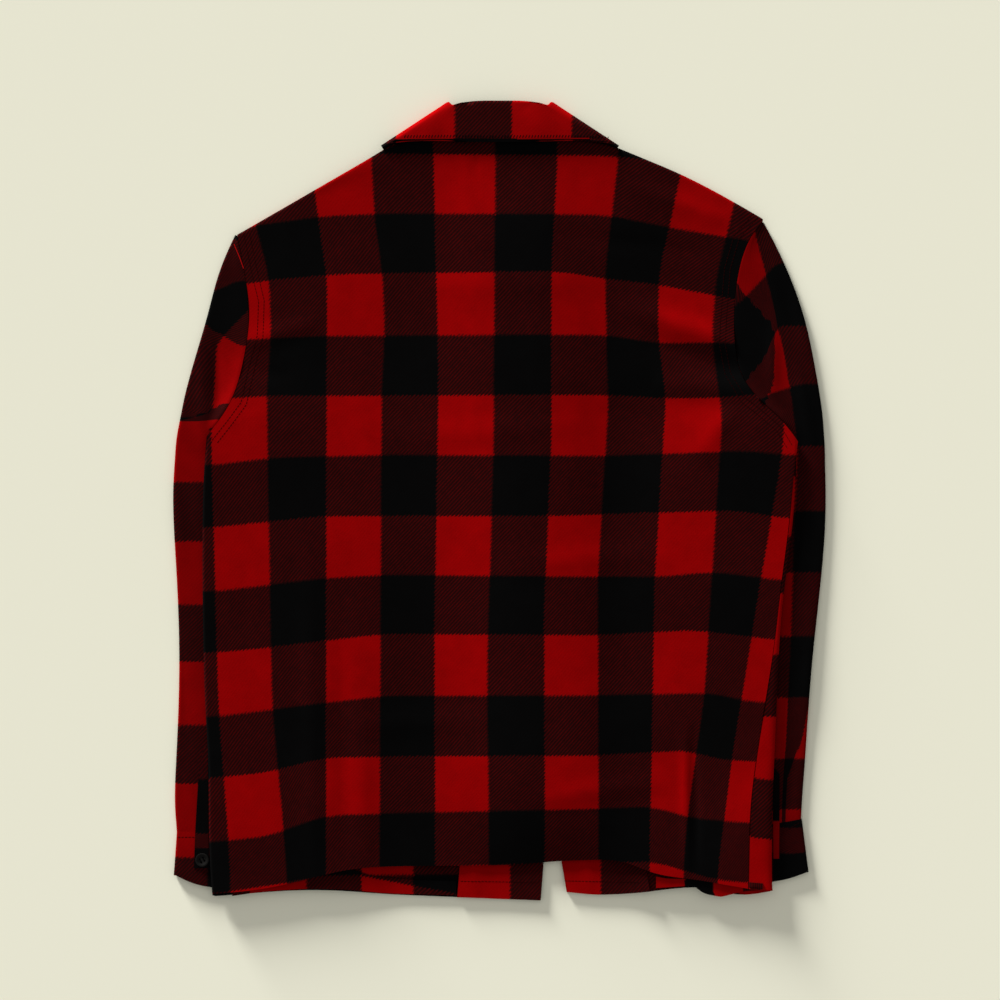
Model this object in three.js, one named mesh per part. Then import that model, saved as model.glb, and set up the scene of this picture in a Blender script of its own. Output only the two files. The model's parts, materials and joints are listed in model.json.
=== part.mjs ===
// Wool overshirt laid flat on its front, so that its back is up and its collar points away along +Y.
// Every panel is a wall of cloth: a grid of points on its middle surface, thickened to both sides.
// Millimetres. The origin is on the surface it lies on, under the middle of the garment.
// Left and right are the wearer's. The wearer's left is at -X, because the back is up.

import * as THREE from 'three';

// Cloth and stack

const CLOTH = 1.6; // thickness of the wool
const HALF = CLOTH / 2;
const SEAM = 0.4; // clear space between two pieces at a seam
const WRAP_SEAM = 0.5; // more of it where a front comes round on to the back
const LAID = 0.3; // clear space between a facing and the front that it lies on
const SLEEVE_AIR = 1.2; // space inside a flattened sleeve
const SLEEVE_RADIUS = (CLOTH + SLEEVE_AIR) / 2; // bend of the cloth at a sleeve's folds
const SLEEVE_UNDER = HALF; // height of the middle of the lower sleeve layer
const SLEEVE_TOP = SLEEVE_UNDER + 2 * SLEEVE_RADIUS;

const FRONT_OVER_SLEEVE = 5.0; // how far a front is lifted by the sleeve under it
const FRONT_OVER_LEAF = 3.0; // by the collar leaf under it
const FRONT_OVER_BUTTONS = 2.9; // by the buttons under it
const RIGHT_OVER_LEFT = 6.9; // the right front's edge, over the left front and its facing
const BACK_LIFT = 4.0; // the back over flat fronts
const BACK_OVER_SLEEVE = 8.0;
const BACK_OVER_LEAF = 7.0;
const BACK_OVER_PLACKET = 11.5;

const FACING_COLUMNS = [0, 14, 28, 45, 62, 80]; // distances from the front edge, across the facing
const FOLD_STEPS = [0, 1.0, 2.0, 3.1]; // grid steps that round off an outer fold

// Outlines. Each row is a point on the garment, from the collar end to the hem.

const ARMHOLE = {
  left: [
    { y: 254, x: -252 },
    { y: 219, x: -245 },
    { y: 190, x: -238 },
    { y: 159, x: -239 },
    { y: 129, x: -247 },
    { y: 96, x: -254 },
    { y: 80, x: -266 },
    { y: 61, x: -281 },
  ],
  right: [
    { y: 267, x: 252 },
    { y: 248, x: 235 },
    { y: 220, x: 227 },
    { y: 182, x: 224 },
    { y: 151, x: 222 },
    { y: 124, x: 227 },
    { y: 102, x: 240 },
    { y: 89, x: 257 },
    { y: 74, x: 274 },
    { y: 56, x: 285 },
  ],
};
// Heights on the armholes where the panels' and the sleeves' rows meet.
const ARM_ROWS = {
  left: [68, 82, 104, 138, 178, 216, 244],
  right: [63, 80, 102, 130, 172, 214, 250],
};
const FRONT_SCOOP = 8; // how much deeper the front armhole is cut than the back one

// Body side under the arm. fold is the outer edge, wrap is how far the front comes round on to the back.
const SIDE = {
  left: [
    { y: 61, fold: -283, wrap: 0 },
    { y: 0, fold: -285, wrap: 0 },
    { y: -96, fold: -285, wrap: 0 },
    { y: -192, fold: -283, wrap: 0 },
    { y: -240, fold: -279, wrap: 0 },
    { y: -336, fold: -279, wrap: 0 },
    { y: -385, fold: -275, wrap: 0 },
  ],
  right: [
    { y: 56, fold: 286, wrap: 1.5 },
    { y: -20, fold: 283, wrap: 1.5 },
    { y: -58, fold: 276, wrap: 1.5 },
    { y: -96, fold: 271, wrap: 1.5 },
    { y: -135, fold: 268, wrap: 1.5 },
    { y: -192, fold: 266, wrap: 9 },
    { y: -240, fold: 264, wrap: 15 },
    { y: -288, fold: 261, wrap: 19 },
    { y: -385, fold: 261, wrap: 21 },
  ],
};

// Line round which the cloth turns at each shoulder, from the tip to the neck point.
const SHOULDER = {
  left: [
    { x: -254, y: 250.6 },
    { x: -182, y: 292 },
    { x: -117, y: 329 },
    { x: -100, y: 340 },
  ],
  right: [
    { x: 254, y: 265.6 },
    { x: 226, y: 283 },
    { x: 174, y: 310 },
    { x: 134, y: 326 },
    { x: 100, y: 340 },
  ],
};
const BACK_NECK_RISE = 12; // the back neck seam stands this much above the neck points at its middle

// Front neck seam from the neck point to the middle, as distances from the middle.
const FRONT_NECK = [
  { off: 100, y: 340 },
  { off: 81, y: 316 },
  { off: 63, y: 295 },
  { off: 46, y: 283 },
  { off: 29, y: 275 },
  { off: 15, y: 271.5 },
  { off: 1, y: 270 },
];

// Front edges. They meet at the neck, overlap down to the last button and part at the hem.
const FRONT_EDGE = {
  left: [
    { y: 270, x: -1 },
    { y: 246, x: -1 },
    { y: 205, x: 14 },
    { y: 134, x: 21 },
    { y: -24, x: 36 },
    { y: -183, x: 49 },
    { y: -240, x: 51 },
    { y: -276, x: 45 },
    { y: -348, x: 42 },
    { y: -384, x: 39 },
  ],
  right: [
    { y: 270, x: 1 },
    { y: 246, x: 1 },
    { y: 205, x: -12 },
    { y: 134, x: -6 },
    { y: -24, x: 8 },
    { y: -183, x: 22 },
    { y: -240, x: 30 },
    { y: -276, x: 47 },
    { y: -347, x: 59 },
    { y: -376, x: 64 },
  ],
};
const MIDDLE_AT_NECK = -1; // where the middle of the front crosses the neck
const MIDDLE_SLANT = 0.08; // the fronts lie a little askew under the back
const NECK_Y = 270;

const HEM = {
  back: [
    { x: -278, y: -377 },
    { x: -228, y: -374 },
    { x: -202, y: -368 },
    { x: -182, y: -364 },
    { x: -165, y: -355 },
    { x: -124, y: -351 },
    { x: 44, y: -350 },
    { x: 59, y: -346 },
    { x: 135, y: -344 },
    { x: 154, y: -353 },
    { x: 173, y: -361 },
    { x: 206, y: -362 },
    { x: 224, y: -366 },
    { x: 262, y: -372 },
  ],
  left: [
    { x: -278, y: -378 },
    { x: -263, y: -382 },
    { x: -228, y: -376 },
    { x: -186, y: -373 },
    { x: -148, y: -374 },
    { x: -108, y: -378 },
    { x: -50, y: -380 },
    { x: 39, y: -383 },
  ],
  right: [
    { x: 64, y: -376 },
    { x: 91, y: -379 },
    { x: 124, y: -377 },
    { x: 153, y: -372 },
    { x: 186, y: -370 },
    { x: 195, y: -378 },
    { x: 212, y: -381 },
    { x: 239, y: -374 },
    { x: 262, y: -372 },
  ],
};

// Flattened sleeves. outer is the outline, inner the fold that lies under the body.
// A row with seam is above the underarm, where the sheet ends on the armhole instead of at the inner fold.
// seam tells how far that edge rises to the height of the body's own, reach how far in the rise begins.
const SLEEVE = {
  left: [
    { outerX: -258, outerY: 246, seam: 1, reach: 6 },
    { outerX: -271, outerY: 217, seam: 1, reach: 18 },
    { outerX: -280, outerY: 178, seam: 1, reach: 24 },
    { outerX: -292, outerY: 138, seam: 1, reach: 24 },
    { outerX: -302, outerY: 104, seam: 1, reach: 16 },
    { outerX: -306, outerY: 82, seam: 0.8, reach: 10 },
    { outerX: -309, outerY: 68, seam: 0.1, reach: 8 },
    { outerX: -311, outerY: 56, innerX: -274, innerY: 56 },
    { outerX: -312, outerY: 38, innerX: -250, innerY: 42 },
    { outerX: -314, outerY: 9, innerX: -222, innerY: 22 },
    { outerX: -313, outerY: -30, innerX: -186, innerY: -18 },
    { outerX: -309, outerY: -90, innerX: -169, innerY: -80 },
    { outerX: -307, outerY: -160, innerX: -171, innerY: -160 },
    { outerX: -310, outerY: -240, innerX: -179, innerY: -240 },
    { outerX: -313, outerY: -288, innerX: -184, innerY: -288 },
    { outerX: -310, outerY: -317, innerX: -188, innerY: -319 },
  ],
  right: [
    { outerX: 262, outerY: 250, seam: 1, reach: 10 },
    { outerX: 279, outerY: 214, seam: 1, reach: 26 },
    { outerX: 294, outerY: 172, seam: 1, reach: 30 },
    { outerX: 302, outerY: 130, seam: 1, reach: 28 },
    { outerX: 307, outerY: 102, seam: 1, reach: 20 },
    { outerX: 310, outerY: 80, seam: 0.8, reach: 12 },
    { outerX: 311, outerY: 63, seam: 0.1, reach: 8 },
    { outerX: 312, outerY: 50, innerX: 278, innerY: 50 },
    { outerX: 312, outerY: 33, innerX: 255, innerY: 37 },
    { outerX: 313, outerY: 4, innerX: 227, innerY: 16 },
    { outerX: 312, outerY: -40, innerX: 192, innerY: -28 },
    { outerX: 305, outerY: -106, innerX: 177, innerY: -96 },
    { outerX: 298, outerY: -166, innerX: 177, innerY: -166 },
    { outerX: 293, outerY: -250, innerX: 180, innerY: -246 },
    { outerX: 290, outerY: -286, innerX: 183, innerY: -292 },
    { outerX: 289, outerY: -305, innerX: 186, innerY: -323 },
  ],
};

// Cuffs: top corners and bottom corners of each flattened band.
const CUFF = {
  left: {
    topOuter: [-310, -317.6],
    topInner: [-188, -319.6],
    endOuter: [-313, -360],
    endMiddle: [-288, -372],
    endInner: [-189, -372],
    button: [-285.5, -345],
  },
  right: {
    topOuter: [289.5, -305.6],
    topInner: [186, -323.6],
    endOuter: [296, -357],
    endMiddle: [262, -365],
    endInner: [190, -373],
    button: [248, -340],
  },
};

// Collar, as stations from the middle of the front round one side to the middle of the back.
// roll is on the fold at its top, neck on the neck seam, edge on the leaf's free edge, all as off and y.
// turn is 0 where the leaf lies on the back, 180 where it lies under a front.
const COLLAR_LEVEL = 5.8; // height of the plane between the back of the neck and its front
const STAND_OUT = 2.0; // the stand from that plane
const LEAF_OUT = 5.0; // the leaf from that plane
const LEAF_GAP = 1.4; // clear space between stand and leaf, along the slanting fold
const COLLAR = [
  { turn: 180, rollOff: 1, rollY: 298, neckOff: 1, neckY: 270, edgeOff: 46, edgeY: 238 },
  { turn: 180, rollOff: 18, rollY: 304, neckOff: 29, neckY: 275, edgeOff: 66, edgeY: 257 },
  { turn: 180, rollOff: 36, rollY: 320, neckOff: 63, neckY: 295, edgeOff: 88, edgeY: 286 },
  { turn: 180, rollOff: 47, rollY: 342, neckOff: 81, neckY: 316, edgeOff: 104, edgeY: 316 },
  { turn: 180, rollOff: 49, rollY: 373, neckOff: 95, neckY: 340, edgeOff: 110, edgeY: 333 },
  { turn: 150, rollOff: 49, rollY: 375.6, neckOff: 96.5, neckY: 342.5, edgeOff: 111, edgeY: 335 },
  { turn: 120, rollOff: 49, rollY: 375.6, neckOff: 96.5, neckY: 342.5, edgeOff: 111, edgeY: 335 },
  { turn: 90, rollOff: 49, rollY: 375.6, neckOff: 96.5, neckY: 342.5, edgeOff: 111, edgeY: 335 },
  { turn: 60, rollOff: 49, rollY: 375.6, neckOff: 96.5, neckY: 342.5, edgeOff: 111, edgeY: 335 },
  { turn: 30, rollOff: 49, rollY: 375.6, neckOff: 96.5, neckY: 342.5, edgeOff: 111, edgeY: 335 },
  { turn: 0, rollOff: 48, rollY: 375.4, neckOff: 90, neckY: 344.5, edgeOff: 107, edgeY: 341 },
  { turn: 0, rollOff: 40, rollY: 377.8, neckOff: 70, neckY: 346.8, edgeOff: 82, edgeY: 344 },
  { turn: 0, rollOff: 27, rollY: 379, neckOff: 46, neckY: 349.5, edgeOff: 54, edgeY: 343.5 },
  { turn: 0, rollOff: 13.5, rollY: 379, neckOff: 23, neckY: 351.4, edgeOff: 27, edgeY: 343 },
  { turn: 0, rollOff: 0, rollY: 378.6, neckOff: 0, neckY: 352, edgeOff: 0, edgeY: 343 },
];

// Columns of the panels' grids: places along the hem and along the top edge.
const BACK_COLUMNS = [
  { hem: -232, top: -210 },
  { hem: -186, top: -172 },
  { hem: -140, top: -134 },
  { hem: -95, top: -100 },
  { hem: -36, top: -62 },
  { hem: 28, top: -28 },
  { hem: 68, top: 12 },
  { hem: 103, top: 40 },
  { hem: 135, top: 70 },
  { hem: 165, top: 100 },
  { hem: 190, top: 135 },
  { hem: 215, top: 173 },
  { hem: 240, top: 212 },
];
// The same for a front, as shares of its width.
const FRONT_SHARES = [
  { hem: 0.35, top: 0.399 },
  { hem: 0.48, top: 0.52 },
  { hem: 0.61, top: 0.64 },
  { hem: 0.74, top: 0.76 },
  { hem: 0.87, top: 0.88 },
];
// Rows of the panels: share of the way from hem to underarm, and where the row meets the front edge.
const BODY_ROWS = [
  { share: 0, edgeY: -384 },
  { share: 0.07, edgeY: -350 },
  { share: 0.18, edgeY: -312 },
  { share: 0.3, edgeY: -276 },
  { share: 0.42, edgeY: -215 },
  { share: 0.54, edgeY: -150 },
  { share: 0.66, edgeY: -85 },
  { share: 0.78, edgeY: -20 },
  { share: 0.9, edgeY: 45 },
  { share: 1, edgeY: 92 },
];
const ARM_EDGE_Y = [106, 122, 142, 170, 205, 246, 262];

const BUTTON_ROWS = [200, 112, 24, -64, -152, -240]; // places along the front
const BUTTON = { radius: 9, height: 2.4, rim: 0.5 };
const CUFF_BUTTON = { radius: 6.5, height: 2.0, rim: 0.4 };
const BUTTON_SIDES = 14;

// Materials

const wool = new THREE.MeshStandardMaterial({ color: 0x6e0505, roughness: 0.95, metalness: 0 });
const woolDark = new THREE.MeshStandardMaterial({ color: 0x240404, roughness: 0.95, metalness: 0 });
const horn = new THREE.MeshStandardMaterial({ color: 0x17110f, roughness: 0.45, metalness: 0 });

// Reading the tables

const mix = (a, b, t) => a + (b - a) * t;
const clamp01 = (t) => Math.min(1, Math.max(0, t));
const ease = (t) => t * t * (3 - 2 * t);

// Value of one column at a place along another, straight between the rows.
function lookUp(rows, key, column, place) {
  const rising = rows[rows.length - 1][key] > rows[0][key];
  const list = rising ? rows : [...rows].reverse();
  if (place <= list[0][key]) return list[0][column];
  for (let i = 1; i < list.length; i += 1) {
    if (place <= list[i][key]) {
      const t = (place - list[i - 1][key]) / (list[i][key] - list[i - 1][key]);
      return mix(list[i - 1][column], list[i][column], t);
    }
  }
  return list[list.length - 1][column];
}

// Distance from a point to a run of straight segments, with the side it is on and the nearest point.
function nearestOn(line, x, y) {
  let best = { distance: Infinity };
  for (let i = 1; i < line.length; i += 1) {
    const [a, b] = [line[i - 1], line[i]];
    const [dx, dy] = [b.x - a.x, b.y - a.y];
    const t = clamp01(((x - a.x) * dx + (y - a.y) * dy) / (dx * dx + dy * dy));
    const [px, py] = [a.x + dx * t, a.y + dy * t];
    const distance = Math.hypot(x - px, y - py);
    if (distance < best.distance) {
      best = { distance, x: px, y: py, cross: dx * (y - a.y) - dy * (x - a.x) };
    }
  }
  return best;
}

function isInside(outline, x, y) {
  let inside = false;
  for (let i = 0, j = outline.length - 1; i < outline.length; j = i, i += 1) {
    const [a, b] = [outline[i], outline[j]];
    if (a.y > y !== b.y > y && x < ((b.x - a.x) * (y - a.y)) / (b.y - a.y) + a.x) inside = !inside;
  }
  return inside;
}

// 1 over an outline and out to full beyond it, falling to 0 at gone.
function coverOf(outline, x, y, full, gone) {
  if (isInside(outline, x, y)) return 1;
  const { distance } = nearestOn([...outline, outline[0]], x, y);
  return ease(clamp01((gone - distance) / (gone - full)));
}

// What lies under the panels

const SIGN = { left: -1, right: 1 };

function sleeveFootprint(side) {
  const inner = SLEEVE[side].filter((row) => row.innerX !== undefined);
  const points = inner.map((row) => ({ x: row.innerX, y: row.innerY }));
  const end = CUFF[side].endInner;
  const far = SIGN[side] * 330;
  return [{ x: far, y: points[0].y }, ...points, { x: end[0], y: end[1] }, { x: far, y: end[1] }];
}
const FOOTPRINT = { left: sleeveFootprint('left'), right: sleeveFootprint('right') };

function leafFootprint(side) {
  const rows = COLLAR.filter((row) => row.turn === 180);
  const roll = rows.map((row) => ({ x: SIGN[side] * row.rollOff, y: row.rollY }));
  const edge = rows.map((row) => ({ x: SIGN[side] * row.edgeOff, y: row.edgeY }));
  return [...roll, ...edge.reverse()];
}
const LEAF = { left: leafFootprint('left'), right: leafFootprint('right') };

const middleOfFront = (y) => MIDDLE_AT_NECK + (NECK_Y - y) * MIDDLE_SLANT;
const between = (a, b, place) => ease(clamp01((place - a) / (b - a)));

// Lift by the right cuff's button, which lies under the body.
function cuffBump(x, y) {
  const [buttonX, buttonY] = CUFF.right.button;
  const away = Math.hypot(x - buttonX, y - buttonY);
  return CUFF_BUTTON.height * ease(clamp01((70 - away) / 34));
}

// Heights of the middle of the cloth

function frontHeight(side, x, y) {
  const sleeve = FRONT_OVER_SLEEVE * coverOf(FOOTPRINT[side], x, y, 34, 72);
  const leaf = FRONT_OVER_LEAF * coverOf(LEAF[side], x, y, 16, 52);
  const inFromEdge = Math.abs(x - lookUp(FRONT_EDGE[side], 'y', 'x', y));
  const strip = 1 - clamp01((inFromEdge - 28) / 34);
  const buttoned = between(-312, -276, y) * between(262, 246, y);
  const edge = side === 'left' ? FRONT_OVER_BUTTONS : RIGHT_OVER_LEFT;
  return HALF + Math.max(sleeve, leaf, edge * strip * buttoned) + cuffBump(x, y);
}

function backHeight(x, y) {
  const sleeve = Math.max(coverOf(FOOTPRINT.left, x, y, 42, 100), coverOf(FOOTPRINT.right, x, y, 42, 100));
  const leaf = Math.max(coverOf(LEAF.left, x, y, 30, 96), coverOf(LEAF.right, x, y, 30, 96));
  const strip = 1 - clamp01((Math.abs(x - middleOfFront(y) - 8) - 38) / 54);
  const buttoned = between(-352, -290, y) * between(310, 262, y);
  return HALF + Math.max(
    mix(BACK_LIFT, BACK_OVER_SLEEVE, sleeve),
    mix(BACK_LIFT, BACK_OVER_LEAF, leaf),
    mix(BACK_LIFT, BACK_OVER_PLACKET, strip * buttoned),
  ) + cuffBump(x, y);
}

// Grid and wall

// Unit normals of a grid of points, grid[row][column].
function normalsOf(grid) {
  const rows = grid.length;
  const columns = grid[0].length;
  const step = (a, b) => b.clone().sub(a).normalize();
  // Direction of a run of points at one of them. At an end it carries on the bend of the run.
  const direction = (run, i) => {
    const last = run.length - 1;
    if (i > 0 && i < last) return run[i + 1].clone().sub(run[i - 1]).normalize();
    const [own, next, after] = i === 0 ? [0, 1, 2] : [last, last - 1, last - 2];
    const first = step(run[own], run[next]);
    const bend = step(run[own], run[after]);
    const ahead = first.clone().multiplyScalar(2).sub(bend).normalize();
    return i === 0 ? ahead : ahead.negate();
  };
  const down = Array.from({ length: columns }, (_, j) => grid.map((row) => row[j]));
  return Array.from({ length: rows }, (_, i) => Array.from({ length: columns }, (__, j) => (
    direction(grid[i], j).cross(direction(down[j], i)).normalize()
  )));
}

// A closed wall on a grid of points, from one distance along its normals to another.
function wallOf(grid, from = -HALF, to = HALF, normals = normalsOf(grid)) {
  const rows = grid.length;
  const columns = grid[0].length;
  const upper = [];
  const lower = [];
  for (let i = 0; i < rows; i += 1) {
    for (let j = 0; j < columns; j += 1) {
      upper.push(grid[i][j].clone().addScaledVector(normals[i][j], to));
      lower.push(grid[i][j].clone().addScaledVector(normals[i][j], from));
    }
  }
  const points = [...upper, ...lower];
  const under = rows * columns;
  const triangles = [];
  const quad = (a, b, c, d) => triangles.push(a, b, c, a, c, d);
  for (let i = 0; i < rows - 1; i += 1) {
    for (let j = 0; j < columns - 1; j += 1) {
      const a = i * columns + j;
      const [b, c, d] = [a + 1, a + columns + 1, a + columns];
      quad(a, b, c, d);
      triangles.push(under + a, under + c, under + b, under + a, under + d, under + c);
    }
  }
  for (let j = 0; j < columns - 1; j += 1) {
    const top = (rows - 1) * columns + j;
    quad(under + j, under + j + 1, j + 1, j);
    quad(top, top + 1, under + top + 1, under + top);
  }
  for (let i = 0; i < rows - 1; i += 1) {
    const left = i * columns;
    const right = left + columns - 1;
    quad(left, left + columns, under + left + columns, under + left);
    quad(under + right, under + right + columns, right + columns, right);
  }
  const geometry = new THREE.BufferGeometry();
  const flat = points.flatMap((p) => [p.x, p.y, p.z]);
  geometry.setAttribute('position', new THREE.Float32BufferAttribute(flat, 3));
  geometry.setIndex(triangles);
  return geometry;
}

const point = (x, y, z) => new THREE.Vector3(x, y, z);

// Panels of the body

// The line round which the cloth turns at a side, from the underarm to the hem.
function sideLine(side) {
  const inset = (backHeight(SIDE[side][0].fold, 0) - frontHeight(side, SIDE[side][0].fold, 0)) / 2 + HALF;
  return SIDE[side].map((row) => ({ x: row.fold - SIGN[side] * inset, y: row.y }));
}
const TURN_LINE = { left: sideLine('left'), right: sideLine('right') };
const UNDERARM = { left: TURN_LINE.left[0].y, right: TURN_LINE.right[0].y };

// Place of a point of a flat panel once its cloth has turned round a side or shoulder fold.
// own and other give the heights of this layer and of the one that it meets.
function turned(x, y, line, outward, own, other) {
  const near = nearestOn(line, x, y);
  const beyond = Math.sign(near.cross) === outward ? near.distance : 0;
  if (beyond < 1e-6) return point(x, y, own(x, y));
  const [nx, ny] = [(x - near.x) / near.distance, (y - near.y) / near.distance];
  const start = own(near.x, near.y);
  const radius = (other(near.x, near.y) - start) / 2;
  const size = Math.abs(radius);
  const angle = beyond / size;
  if (angle < Math.PI) {
    const out = size * Math.sin(angle);
    return point(near.x + nx * out, near.y + ny * out, start + radius * (1 - Math.cos(angle)));
  }
  const back = beyond - Math.PI * size;
  const [px, py] = [near.x - nx * back, near.y - ny * back];
  return point(px, py, other(px, py));
}

// How far past the turning line a panel's cut edge lies at a side, with a quarter turn if nothing wraps.
function sideReach(side, layer, y) {
  const x = lookUp(TURN_LINE[side], 'y', 'x', y);
  const radius = (backHeight(x, y) - frontHeight(side, x, y)) / 2;
  const wrap = lookUp(SIDE[side], 'y', 'wrap', y);
  if (wrap < 1) return (Math.PI / 2) * radius - SEAM / 2;
  return layer === 'front' ? Math.PI * radius + wrap - SEAM / 2 : -wrap - SEAM / 2 - WRAP_SEAM;
}

function sideEdge(side, layer, share) {
  const hem = layer === 'front' ? HEM[side] : HEM.back;
  const hemY = lookUp(hem, 'x', 'y', SIDE[side][SIDE[side].length - 1].fold);
  const y = mix(hemY, UNDERARM[side], share);
  const x = lookUp(TURN_LINE[side], 'y', 'x', y) + SIGN[side] * sideReach(side, layer, y);
  return { x, y };
}

function armholeEdge(side, layer, y) {
  const rows = ARMHOLE[side];
  const share = clamp01((y - rows[rows.length - 1].y) / (rows[0].y - rows[rows.length - 1].y));
  const scoop = layer === 'front' ? FRONT_SCOOP * Math.sin(Math.PI * share) : 0;
  return lookUp(rows, 'y', 'x', y) - SIGN[side] * scoop;
}

// Top edge of a panel at a place across it: shoulders with their quarter turn, and the neck between them.
function topEdge(layer, x) {
  const side = x < 0 ? 'left' : 'right';
  const line = SHOULDER[side];
  const neckPoint = line[line.length - 1];
  if (Math.abs(x) >= Math.abs(neckPoint.x)) {
    const y = lookUp(line, 'x', 'y', x);
    return y + ((Math.PI / 2) * 2.0 - SEAM / 2) * 1.14;
  }
  if (layer === 'back') {
    const across = x / neckPoint.x;
    return neckPoint.y + BACK_NECK_RISE * (1 - across * across);
  }
  return lookUp(FRONT_NECK, 'off', 'y', Math.abs(x));
}

// Rows shared by the panels, from the hem to the underarm, up the armhole and over the shoulder.
const ROWS = [
  ...BODY_ROWS.map(({ share, edgeY }) => ({ body: share, rise: share * 0.6, edgeY })),
  ...ARM_EDGE_Y.map((edgeY, i) => ({ arm: i, rise: 0.6 + 0.4 * ((i + 1) / (ARM_EDGE_Y.length + 1)), edgeY })),
  ...[...FOLD_STEPS].reverse().map((inset) => ({ inset, rise: 1, edgeY: NECK_Y - inset })),
];

// Flat place of a row's end at a side.
function rowEnd(side, layer, row) {
  if (row.body < 1) return sideEdge(side, layer, row.body);
  const tip = SHOULDER[side][0];
  const lowest = ARMHOLE[side][ARMHOLE[side].length - 1].y;
  let y = row.body === 1 ? lowest : ARM_ROWS[side][row.arm];
  if (row.inset !== undefined) y = topEdge(layer, tip.x) - row.inset;
  return { x: armholeEdge(side, layer, Math.min(y, ARMHOLE[side][0].y)) - SIGN[side] * (SEAM / 2), y };
}

function settle(x, y, layer, side) {
  const own = layer === 'back' ? backHeight : (px, py) => frontHeight(side, px, py);
  const other = layer === 'back' ? (px, py) => frontHeight(side, px, py) : backHeight;
  const shoulder = SHOULDER[side];
  const tip = shoulder[0];
  const neckPoint = shoulder[shoulder.length - 1];
  const overShoulder = Math.abs(x) > Math.abs(neckPoint.x) && y > lookUp(shoulder, 'x', 'y', x);
  if (overShoulder && y > tip.y - 12) return turned(x, y, shoulder, -SIGN[side], own, other);
  if (y <= UNDERARM[side] + 0.01) {
    const line = TURN_LINE[side];
    const beyond = SIGN[side] * (x - lookUp(line, 'y', 'x', y));
    if (beyond > 0) return turnedSide(x, y, side, own, other);
  }
  return point(x, y, own(x, y));
}

// The same turn at a body side, whose line runs almost straight up.
function turnedSide(x, y, side, own, other) {
  const lineX = lookUp(TURN_LINE[side], 'y', 'x', y);
  const start = own(lineX, y);
  const radius = (other(lineX, y) - start) / 2;
  const size = Math.abs(radius);
  const beyond = SIGN[side] * (x - lineX);
  const angle = beyond / size;
  if (angle < Math.PI) {
    const out = SIGN[side] * size * Math.sin(angle);
    return point(lineX + out, y, start + radius * (1 - Math.cos(angle)));
  }
  const px = lineX - SIGN[side] * (beyond - Math.PI * size);
  return point(px, y, other(px, y));
}

// Columns next to a side fold, as distances from the cut edge.
function foldColumns(side, layer, row, y) {
  const wrap = row.body < 1 ? lookUp(SIDE[side], 'y', 'wrap', y) : 0;
  if (layer === 'back' || wrap < 1) return FOLD_STEPS;
  const radius = (BACK_OVER_SLEEVE - FRONT_OVER_SLEEVE) / 2;
  return [0, wrap, wrap + (Math.PI * radius) / 2, wrap + Math.PI * radius];
}

// How far a row follows the shape of the top edge. The last rows follow it all the way.
const topFollow = (row) => (row.inset !== undefined ? 1 : row.rise ** 4);

function backGrid() {
  const hem = { left: -276, right: 262 };
  const last = ROWS[ROWS.length - 1];
  const top = { left: rowEnd('left', 'back', last).x, right: rowEnd('right', 'back', last).x };
  const shareOf = (place, ends) => (place - ends.left) / (ends.right - ends.left);
  const bowOf = (edge, ends, share) => (
    edge(mix(ends.left, ends.right, share)) - mix(edge(ends.left), edge(ends.right), share)
  );
  const hemAt = (x) => lookUp(HEM.back, 'x', 'y', x);
  const topAt = (x) => topEdge('back', x);
  return ROWS.map((row) => {
    const left = rowEnd('left', 'back', row);
    const right = rowEnd('right', 'back', row);
    const columns = [
      ...FOLD_STEPS.map((step) => left.x + step),
      ...BACK_COLUMNS.map((column) => {
        const share = mix(shareOf(column.hem, hem), shareOf(column.top, top), row.rise);
        return mix(left.x, right.x, share);
      }),
      ...[...FOLD_STEPS].reverse().map((step) => right.x - step),
    ];
    return columns.map((x) => {
      const share = (x - left.x) / (right.x - left.x);
      const bow = bowOf(hemAt, hem, share) * (1 - row.rise) + bowOf(topAt, top, share) * topFollow(row);
      return settle(x, mix(left.y, right.y, share) + bow, 'back', x < 0 ? 'left' : 'right');
    });
  });
}

function frontGrid(side) {
  const sign = SIGN[side];
  const hemEdge = FRONT_EDGE[side][FRONT_EDGE[side].length - 1];
  const hem = { near: hemEdge.x, far: lookUp(TURN_LINE[side], 'y', 'x', hemEdge.y) };
  const top = { near: sign, far: rowEnd(side, 'front', ROWS[ROWS.length - 1]).x };
  const bowOf = (edge, ends, share) => (
    edge(mix(ends.near, ends.far, share)) - mix(edge(ends.near), edge(ends.far), share)
  );
  const hemAt = (x) => lookUp(HEM[side], 'x', 'y', x);
  const topAt = (x) => topEdge('front', x);
  return ROWS.map((row) => {
    const outer = rowEnd(side, 'front', row);
    const edgeY = Math.max(hemEdge.y, row.edgeY);
    const edgeX = lookUp(FRONT_EDGE[side], 'y', 'x', edgeY);
    const width = Math.abs(outer.x - edgeX);
    const columns = [
      ...FACING_COLUMNS,
      ...FRONT_SHARES.map((column) => width * mix(column.hem, column.top, row.rise)),
      ...[...foldColumns(side, 'front', row, outer.y)].reverse().map((step) => width - step),
    ];
    return columns.map((inward) => {
      const share = inward / width;
      const bow = bowOf(hemAt, hem, share) * (1 - row.rise) + bowOf(topAt, top, share) * topFollow(row);
      return settle(edgeX + sign * inward, mix(edgeY, outer.y, share) + bow, 'front', side);
    });
  });
}

// Sleeves and cuffs

const INNER_TURN = [90, 60, 30, 0]; // degrees round the inner fold, from the seam
const OUTER_TURN = [0, 45, 90, 135, 180]; // degrees round the outer fold, from top to under layer
const ACROSS = [0.12, 0.3, 0.5, 0.7, 0.88]; // shares between the two folds

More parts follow.
